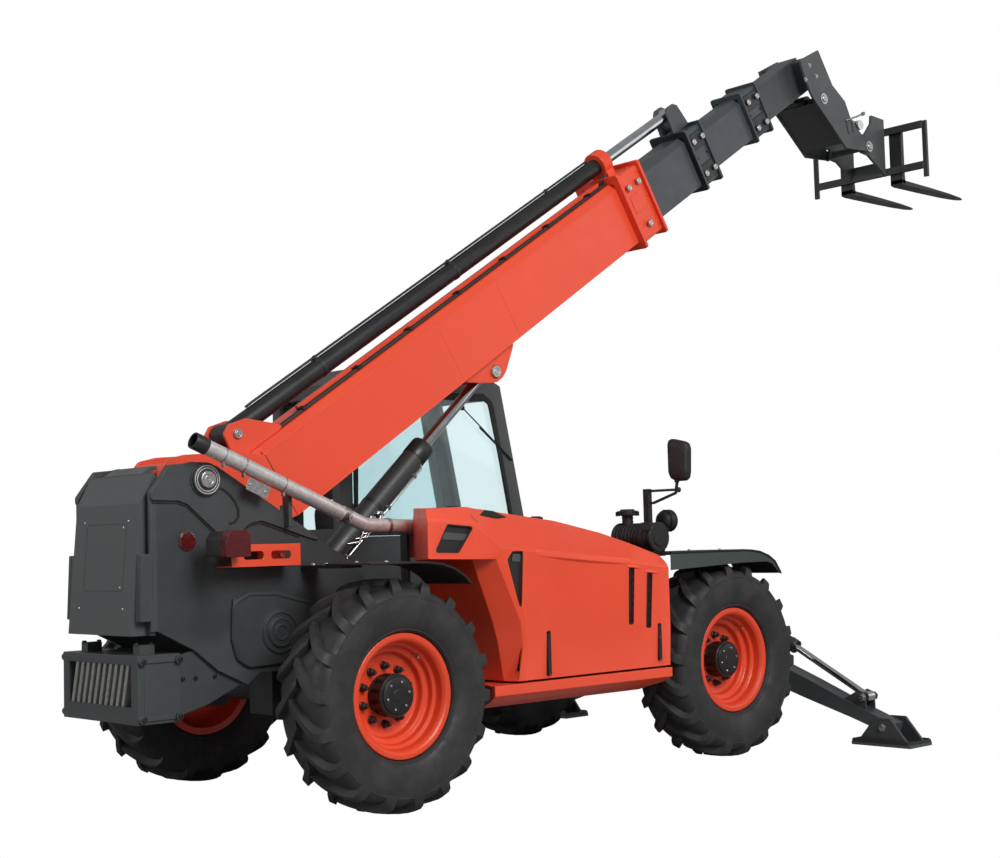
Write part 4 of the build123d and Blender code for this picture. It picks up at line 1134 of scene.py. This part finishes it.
def make_boom_trim():
    """Weld seams and wear-pad plates on the tubes, hose clips on the rail, and hard lines up the boom."""
    seams, plates, lines, clips = shapes(4)
    for side in SIDES:
        # long seams where the folded top and bottom meet the side, short ones beside the lift lugs
        for start, end, out, radius in (
                ((0.6, -0.166), (4.18, -0.166), 0.1598, 0.003), ((0.6, -0.585), (4.18, -0.585), 0.16, 0.004),
                ((2.15, -0.2), (2.15, -0.575), 0.1598, 0.0022), ((2.76, -0.2), (2.76, -0.575), 0.1598, 0.0022)):
            seams.pipe([boom_at(*start, side * out), boom_at(*end, side * out)], radius, 8)
        # guide strip bolts along the bands, wear-pad cover on the band's side
        bolts_at(plates, [boom_at(along, off, side * 0.186) for along in (4.228, 4.442)
                          for off in (-0.14, -0.33, -0.42, -0.56)], (0, side, 0), 6, -2, 8.5, 5, 8.5, 6.5, 7)
        boom_plate(plates, side * 0.1875, rounded(rect(4.262, 4.408, -0.4, -0.27), 0.012, 4), 0.006)
    bolts_at(plates, [boom_at(along, -0.094, y) for along in (4.24, 4.43) for y in (-0.12, 0.12)], OFF_BOOM, 6,
             -2, 10, 7, 10, 8.5, 8)
    seams.finish("boom_seams", ORANGE, "boom_outer", smooth=60)
    plates.finish("boom_band_plates", ORANGE, "boom_outer", 0.0012)
    # two hard lines beside the rail, clipped every half metre
    for y in (-0.06, -0.084):
        lines.pipe([boom_at(along, off, y) for along, off in (
            (0.7, -0.111), (4.17, -0.111), (4.205, -0.066), (4.236, -0.06))], 0.009)
    for n in range(7):
        at = boom_at(1.0 + 0.5 * n, -0.104, -0.072)
        clips.prism(at, UP_BOOM, Y, rounded(pad(0.018, 0.032), 0.006, 3), 0.016)
        clips.disc(at + OFF_BOOM * 0.007, OFF_BOOM, 6, -2, 7, 5, 7, 6, 0)
    lines.finish("boom_lines", BLACK, "boom_outer", smooth=60)
    clips.finish("boom_line_clips", PLASTIC, "boom_outer", 0.001)


def make_boom_tail():
    """Rounded cover between the boom's ears, over its tail, and the hubs outside them."""
    cover, hubs = shapes(2)
    rings = []
    for k in range(TAIL_STEPS + 1):
        a = TAIL_FROM + TAIL_TURN * k / TAIL_STEPS
        out = UP_BOOM * cos(a) + OFF_BOOM * sin(a)
        rings.append([PIVOT + out * radius + Y * y for radius, y in (
            (0.132, -0.1345), (0.142, -0.1345), (0.142, 0.1345), (0.132, 0.1345))])
    cover.rings(rings)
    cover.finish("boom_tail_cover", ORANGE_CAST, "boom_outer", 0.002)
    for side in SIDES:
        hubs.lathe(PIVOT + Y * side * 0.16, (0, side, 0), 48, -1, 51.5, -1, 92, 10, 90, 14, 84, 14, 51.5)
    hubs.finish("boom_pivot_hubs", ORANGE, "boom_outer", 0.001)


def make_collars():
    """Rounded black flange plates and corner blocks on the inner sections' collars, with their wear-pad covers."""
    for name, body, section, low, high, flange in (("section_2", "boom_second", SECTION_2, 5.131, 5.329, 5.1185),
                                                   ("section_3", "boom_third", SECTION_3, 5.955, 6.18, 6.1925)):
        shape = Shape()
        half, bottom, top, proud = section
        for side in SIDES:
            for off in (top - 0.075, bottom + 0.075):
                boom_plate(shape, side * (half + proud * 0.62),
                           rounded(rect(low + 0.014, high - 0.014, off - 0.062, off + 0.062), 0.02, 4), 0.01)
            bolts_at(shape, [boom_at(along, off, side * (half + proud * 0.6))
                             for off in (top - 0.02, bottom + 0.02, (top + bottom) / 2)
                             for along in (low + 0.03, high - 0.03)], (0, side, 0), 6, 0, 8, 10, 8, 11.5, 6.5)
        outer, inner = (rounded(let_out(section, by), 0.03) for by in (proud, 0.002))
        shape.band(boom_at(flange, 0), Y, OFF_BOOM, inset(outer, 0.004), inner, 0.003)
        shape.finish(name + "_collar_trim", BLACK, body, 0.0015)


# ---------------------------------------------------------------- lift cylinder, cab, stabilizers, head
LIFT_FOOT = Vector((-3.055, 0, 1.04))
CLEVIS = mm([(-3180, 860), (-2930, 860), (-2960, 1060), (-3020, 1120), (-3100, 1120), (-3150, 1060)])
CAB_PANE = mm([(-2176, 1504), (-744, 1504), (-930, 2420), (-1014, 2476), (-2090, 2476), (-2176, 2380)])
WIPER_HUB, WIPER_TIP = Vector((-1.222, 0.404, 2.373)), Vector((-0.76, 0.404, 2.019))
LEG_X = 0.795
# A fork from heel to tip: X, underside, top, half width
FORK = ((3.252, 4.408, 4.45, 0.06), (3.3, 4.4, 4.442, 0.06), (3.7, 4.4, 4.43, 0.06),
        (4.0, 4.4, 4.42, 0.055), (4.2, 4.401, 4.413, 0.038), (4.262, 4.403, 4.41, 0.022),
        (4.279, 4.404, 4.408, 0.01))


def make_lift_details():
    """The lift cylinder's end ring, side pipe and hoses, and the clevis its foot sits in."""
    shape, bright, clevis = shapes(3)
    along = (LIFT_PIN - LIFT_FOOT).normalized()
    under = Vector((along.z, 0, -along.x))
    shape.lathe(LIFT_FOOT + along * 1.4, along, 48, 0, 74, 0, 76.5, 4, 78.5, 118, 78.5, 123, 76, 123, 40, 110, 38)
    for s in (0.5, 0.95):
        shape.clamp(LIFT_FOOT + along * s, along, 44, 14, 74, 76.5)
    shape.finish("lift_barrel_rings", BLACK, "lift_cylinder_barrel", 0.001, smooth=45)
    side = (under * 0.6 - Y * 0.8).normalized()
    bright.pipe([LIFT_FOOT + along * s + side * out for s, out in (
        (0.42, 0.07), (0.44, 0.092), (1.36, 0.092), (1.385, 0.076))], 0.008)
    bolts_at(bright, [LIFT_FOOT + along * s + side * 0.072 for s in (0.56, 1.0, 1.29)], side, 12, 0, 13, 30, 13, 32, 0)
    for n, s in enumerate((0.78, 0.845, 0.91)):
        spot = LIFT_FOOT + along * s - Y * 0.07 - under * (0.015 - 0.02 * n)
        bright.disc(spot, -Y, 6, 0, 22, 22, 22, 22, 15, 46, 15, 48, 0)
        bright.pipe([spot - Y * out - along * back + under * down for out, back, down in (
            (0.034, 0, 0), (0.04, 0.05, 0.02), (0.034, 0.11, 0.05), (0.004, 0.17, 0.01))], 0.007)
    bright.finish("lift_barrel_pipes", SILVER, "lift_cylinder_barrel", 0.0006, smooth=45)
    for side in SIDES:
        clevis.plate(side * 0.106, rounded(CLEVIS, 0.05), 0.016)
        clevis.disc((LIFT_FOOT.x, side * 0.106, LIFT_FOOT.z), (0, side, 0), 32, 6, 52, 20, 52, 22, 0)
    clevis.finish("lift_clevis", GREY, bevel=0.002)


def make_cab_details():
    """Rounded rubber seal round the cab's side pane, and the wiper."""
    seal, arm = shapes(2)
    seal.band((0, 0.411, 0), X, Z, rounded(CAB_PANE, [0.03, 0.03, 0.1, 0.1, 0.05, 0.05], 8),
              rounded(inset(CAB_PANE, 0.048), [0.05, 0.05, 0.15, 0.15, 0.05, 0.05], 8), 0.014)
    seal.finish("cab_pane_seal", SEAL, bevel=0.004, smooth=60)
    way = (WIPER_TIP - WIPER_HUB).normalized()
    blade = WIPER_HUB + way * 0.2
    arm.disc(WIPER_HUB + Y * 0.006, -Y, 20, 0, 18, 10, 18, 14, 12)
    arm.pipe([WIPER_HUB, blade, WIPER_HUB + way * 0.33 + Y * 0.003, WIPER_TIP + Y * 0.003], 0.0045, 10)
    arm.ribbon((0, 0.409, 0), X, Z, [(blade.x, blade.z - 0.01), (WIPER_TIP.x, WIPER_TIP.z - 0.004)], 0.008, 0.01)
    arm.finish("cab_wiper", SEAL)


def make_leg_details():
    """Pin ends, side pipes and upturned foot edges on the stabilizers."""
    for name, side in (("right", -1), ("left", 1)):
        pins, pipes, lips = shapes(3)
        for way in SIDES:
            for y, z, out in ((1.43, 0.318, 0.069), (1.601, 0.13, 0.1)):
                pins.disc((LEG_X + way * out, side * y, z), (way, 0, 0), 6, 0, 30, 8, 30, 9, 21, 20, 19, 21, 0)
        pins.finish(name + "_leg_pin_ends", SILVER, name + "_leg", 0.001)
        foot, eye = Vector((LEG_X, side * 0.3, 0.93)), Vector((LEG_X, side * 1.43, 0.318))
        along = (eye - foot).normalized()
        pipes.lathe(foot + along * 0.56, along, 40, 0, 44, 0, 50, 56, 50, 60, 47, 60, 26)
        for x in (-0.056, 0.056):
            pipes.pipe([foot + along * s + X * x * spread for s, spread in (
                (0.08, 0.7), (0.1, 1), (0.56, 1), (0.585, 0.8))], 0.007, 10)
        pipes.finish(name + "_leg_barrel_pipes", BLACK, name + "_leg_barrel", smooth=45)
        for x in (0.668, 0.922):
            lips.prism((x, 0, 0), Y, Z, [(side * y, z) for y, z in (
                (1.374, 0.022), (1.828, 0.022), (1.815, 0.05), (1.387, 0.05))], 0.006)
        for y in (1.374, 1.828):
            lips.plate(side * y, mm([(665, 22), (925, 22), (915, 46), (675, 46)]), 0.005)
        lips.finish(name + "_foot_lips", BLACK, name + "_foot", 0.001)


def make_head_details():
    """Cover between the head's side plates, black as painted shade, bolts, weld lines, the locking rod by the tilt
    pin, and the forks.
    """
    cover, marks, bolts, forks = shapes(4)
    # the plate closing the head's underside is black as painted shade
    cover.ribbon((0, 0, 0), X, Z, mm([(2208, 4968), (2362, 4847), (2510, 4722), (2560, 4680)]), 0.008, 0.392)
    cover.finish("head_shaded_cover", BLACK, "boom_fourth")
    for line in (((2599, 4865), (2628, 4761)), ((2677, 4878), (2695, 4793)), ((2729, 4886), (2761, 4826))):
        marks.ribbon((0, -0.2175, 0), X, Z, mm(line), 0.012, 0.005)
    marks.finish("head_weld_lines", BLACK, "boom_fourth", 0.001)
    for x, z in ((2.112, 5.253), (2.051, 5.126), (2.2, 5.18)):
        for side in SIDES:
            bolts.disc((x, side * 0.214, z), (0, side, 0), 6, 0, 20, 3, 20, 3, 13, 13, 13, 14, 0)
    bolts.pipe([(2.581, -0.222, 4.871), (2.751, -0.222, 4.933), (2.837, -0.222, 4.969)], 0.008)
    bolts.disc((2.837, -0.222, 4.969), (0.54, 0, 0.23), 12, -10, 15, 20, 15)
    bolts.finish("head_bolts", SILVER, "boom_fourth", 0.0006)
    # tapered forks with hooks over the frame
    for y in (-0.255, 0.255):
        forks.rings([[Vector((x, *place)) for place in rect(y - half, y + half, low, high)]
                     for x, low, high, half in FORK])
        forks.rings([[Vector((x, y + across, z)) for x, across in (
            (3.252, -0.06), (3.252, 0.06), (deep, 0.06), (deep, -0.06))]
                     for deep, z in ((3.3, 4.415), (3.292, 4.5), (3.29, 4.915))])
    forks.finish("forks_tapered", BLACK, "carriage", 0.002, ("forks",))


# ---------------------------------------------------------------- seat
CORNER_POWER = 0.32      # of the pads' outline: 1 is an ellipse, 0 an oblong
WAIST = 0.035            # how far its sides are drawn in
CROWN_FROM = 0.6         # height above which a pad is crowned and sewn
CHANNEL_DEEP, CHANNEL_WIDE = 0.007, 0.035
PAD_CORNERS = 96
BELLOWS, BELLOWS_PITCH = 17, 0.022
# How far a pad spreads and how high it is, in shares of its half sizes, up to its welt and over its crown
PAD_LEVELS = [(0.9, -1.0), (0.97, -0.88), (0.995, -0.55), (0.985, 0.0), (0.995, 0.42), (1.012, 0.47), (0.992, 0.53),
              (0.985, 0.8)]
PAD_LEVELS += [(0.965 * cos(0.5 * pi * n / 14) + 0.004, 0.88 + 0.22 * sin(0.5 * pi * n / 14)) for n in range(14)]


def add_cushion(name, at, wide, long, up, half, crown, channels):
    """A crowned pad with a welted seam and sewn channels; half gives its half sizes across, along and through."""
    wide, long, up = (Vector(v).normalized() for v in (wide, long, up))
    shape, rings = Shape(), []
    for spread, height in PAD_LEVELS:
        ring = []
        for n in range(PAD_CORNERS):
            a = 2 * pi * n / PAD_CORNERS
            u, v = (abs(part) ** CORNER_POWER * (1 if part >= 0 else -1) * spread for part in (cos(a), sin(a)))
            pull = 1 - WAIST * (1 - min(1, min(abs(u), abs(v)) ** 2))
            lift = height * half[2]
            if height > CROWN_FROM:
                lift += crown * (1 - u * u) * (1 - v * v)
                lift -= sum(CHANNEL_DEEP * exp(-((v - c) / CHANNEL_WIDE) ** 2) for c in channels)
            ring.append(Vector(at) + wide * u * pull * half[0] + long * v * pull * half[1] + up * lift)
        rings.append(ring)
    shape.rings(rings)
    piece = shape.finish(name, LEATHER, smooth=70)


def make_seat():
    """Bellows base, seat cushion, back cushion and headrest."""
    base, rings = Shape(), []
    for n in range(BELLOWS):
        z, out = 0.7 + n * BELLOWS_PITCH, 0.01 if n % 2 else -0.008
        edge = rounded(rect(-2.0 - out, -1.66 + out, 0.63 - out, 0.94 + out), 0.04, 4)
        rings.append([Vector((*place, z)) for place in edge])
    base.rings(rings)
    base.prism((0, 0, 1.075), X, Y, rounded(rect(-2.04, -1.58, 0.57, 1.0), 0.05), 0.04)
    base.prism((0, 0, 0.6975), X, Y, rounded(rect(-2.02, -1.64, 0.605, 0.965), 0.03, 4), 0.01)
    for y in (0.74, 0.83):
        base.pipe([(-2.075, y, 1.64), (-2.088, y, 1.8)], 0.007, 10)
    base.box((-2.08, 0.64, 1.06), (-2.04, 0.93, 1.3))
    base.finish("seat_base", PLASTIC, bevel=0.002, replaces=("operator_seat",))
    add_cushion("seat_cushion", (-1.8, 0.785, 1.14), X, Y, Z, (0.235, 0.222, 0.042), 0.016, (-0.45, 0.45))
    add_cushion("back_cushion", (-2.02, 0.785, 1.47), Y, (-0.1, 0, 1), (1, 0, 0.1), (0.215, 0.262, 0.042), 0.016,
                (-0.5, -0.05, 0.4))
    add_cushion("headrest", (-2.07, 0.785, 1.83), Y, (-0.08, 0, 1), (1, 0, 0.08), (0.13, 0.078, 0.034), 0.01, ())


make_boom()
make_boom_trim()
make_boom_tail()
make_collars()
make_lift_details()
make_cab_details()
make_leg_details()
make_head_details()
make_seat()


# ---------------------------------------------------------------- stage and light
FLOOR_HALF, FLOOR_GREY = 40, 0.35
WORLD_STRENGTH = 0.33
# Name, place, aim, size and power: a large soft key from above behind the camera, weaker ones in front and behind
LIGHTS = (("key", (-4, -13, 9), (0, 0, 1.5), 7, 1550), ("fill", (9, -8, 6), (0, 0, 1.5), 8, 120),
          ("back", (-13, 4, 6), (0, 0, 1.5), 7, 330))


def white_to_camera(tree, lit, white, output):
    """Shows the second shader to the camera, also through glass, and the first to all other rays."""
    path = tree.nodes.new("ShaderNodeLightPath")
    either = tree.nodes.new("ShaderNodeMath")
    either.operation = "MAXIMUM"
    mix = tree.nodes.new("ShaderNodeMixShader")
    for start, end in ((path.outputs["Is Camera Ray"], either.inputs[0]),
                       (path.outputs["Is Transmission Ray"], either.inputs[1]), (either.outputs[0], mix.inputs[0]),
                       (lit.outputs[0], mix.inputs[1]), (white.outputs[0], mix.inputs[2]), (mix.outputs[0], output)):
        tree.links.new(start, end)


def make_floor():
    """A white floor that throws light back but shows as plain white, like the cut-out background."""
    mesh = bpy.data.meshes.new("floor")
    mesh.from_pydata([(x, y, 0) for x, y in pad(FLOOR_HALF, FLOOR_HALF)], [], [(0, 1, 2, 3)])
    floor = link(bpy.data.objects.new("floor", mesh))
    mat, tree, shader = new_material("floor")
    wire(tree, shader, Base_Color=(FLOOR_GREY, FLOOR_GREY, FLOOR_GREY, 1), Roughness=0.9)
    white = add_node(tree, "ShaderNodeEmission", Color=(1, 1, 1, 1), Strength=1.0)
    white_to_camera(tree, shader, white, tree.nodes["Material Output"].inputs[0])
    mesh.materials.append(mat)


def make_light():
    world = bpy.data.worlds.new("studio")
    bpy.context.scene.world = world
    world.use_nodes = True
    tree = world.node_tree
    tree.nodes.clear()
    out = tree.nodes.new("ShaderNodeOutputWorld")
    light, seen = (add_node(tree, "ShaderNodeBackground", Color=(1, 1, 1, 1), Strength=strength)
                   for strength in (WORLD_STRENGTH, 1.0))
    white_to_camera(tree, light, seen, out.inputs[0])
    for name, at, aim, size, power in LIGHTS:
        data = bpy.data.lights.new(name, "AREA")
        data.shape, data.size, data.energy = "DISK", size, power
        lamp = bpy.data.objects.new(name, data)
        lamp.location = at
        lamp.rotation_euler = (Vector(aim) - Vector(at)).to_track_quat("-Z", "Y").to_euler()
        link(lamp)


make_floor()
make_light()
bpy.context.scene.view_settings.view_transform = "Standard"
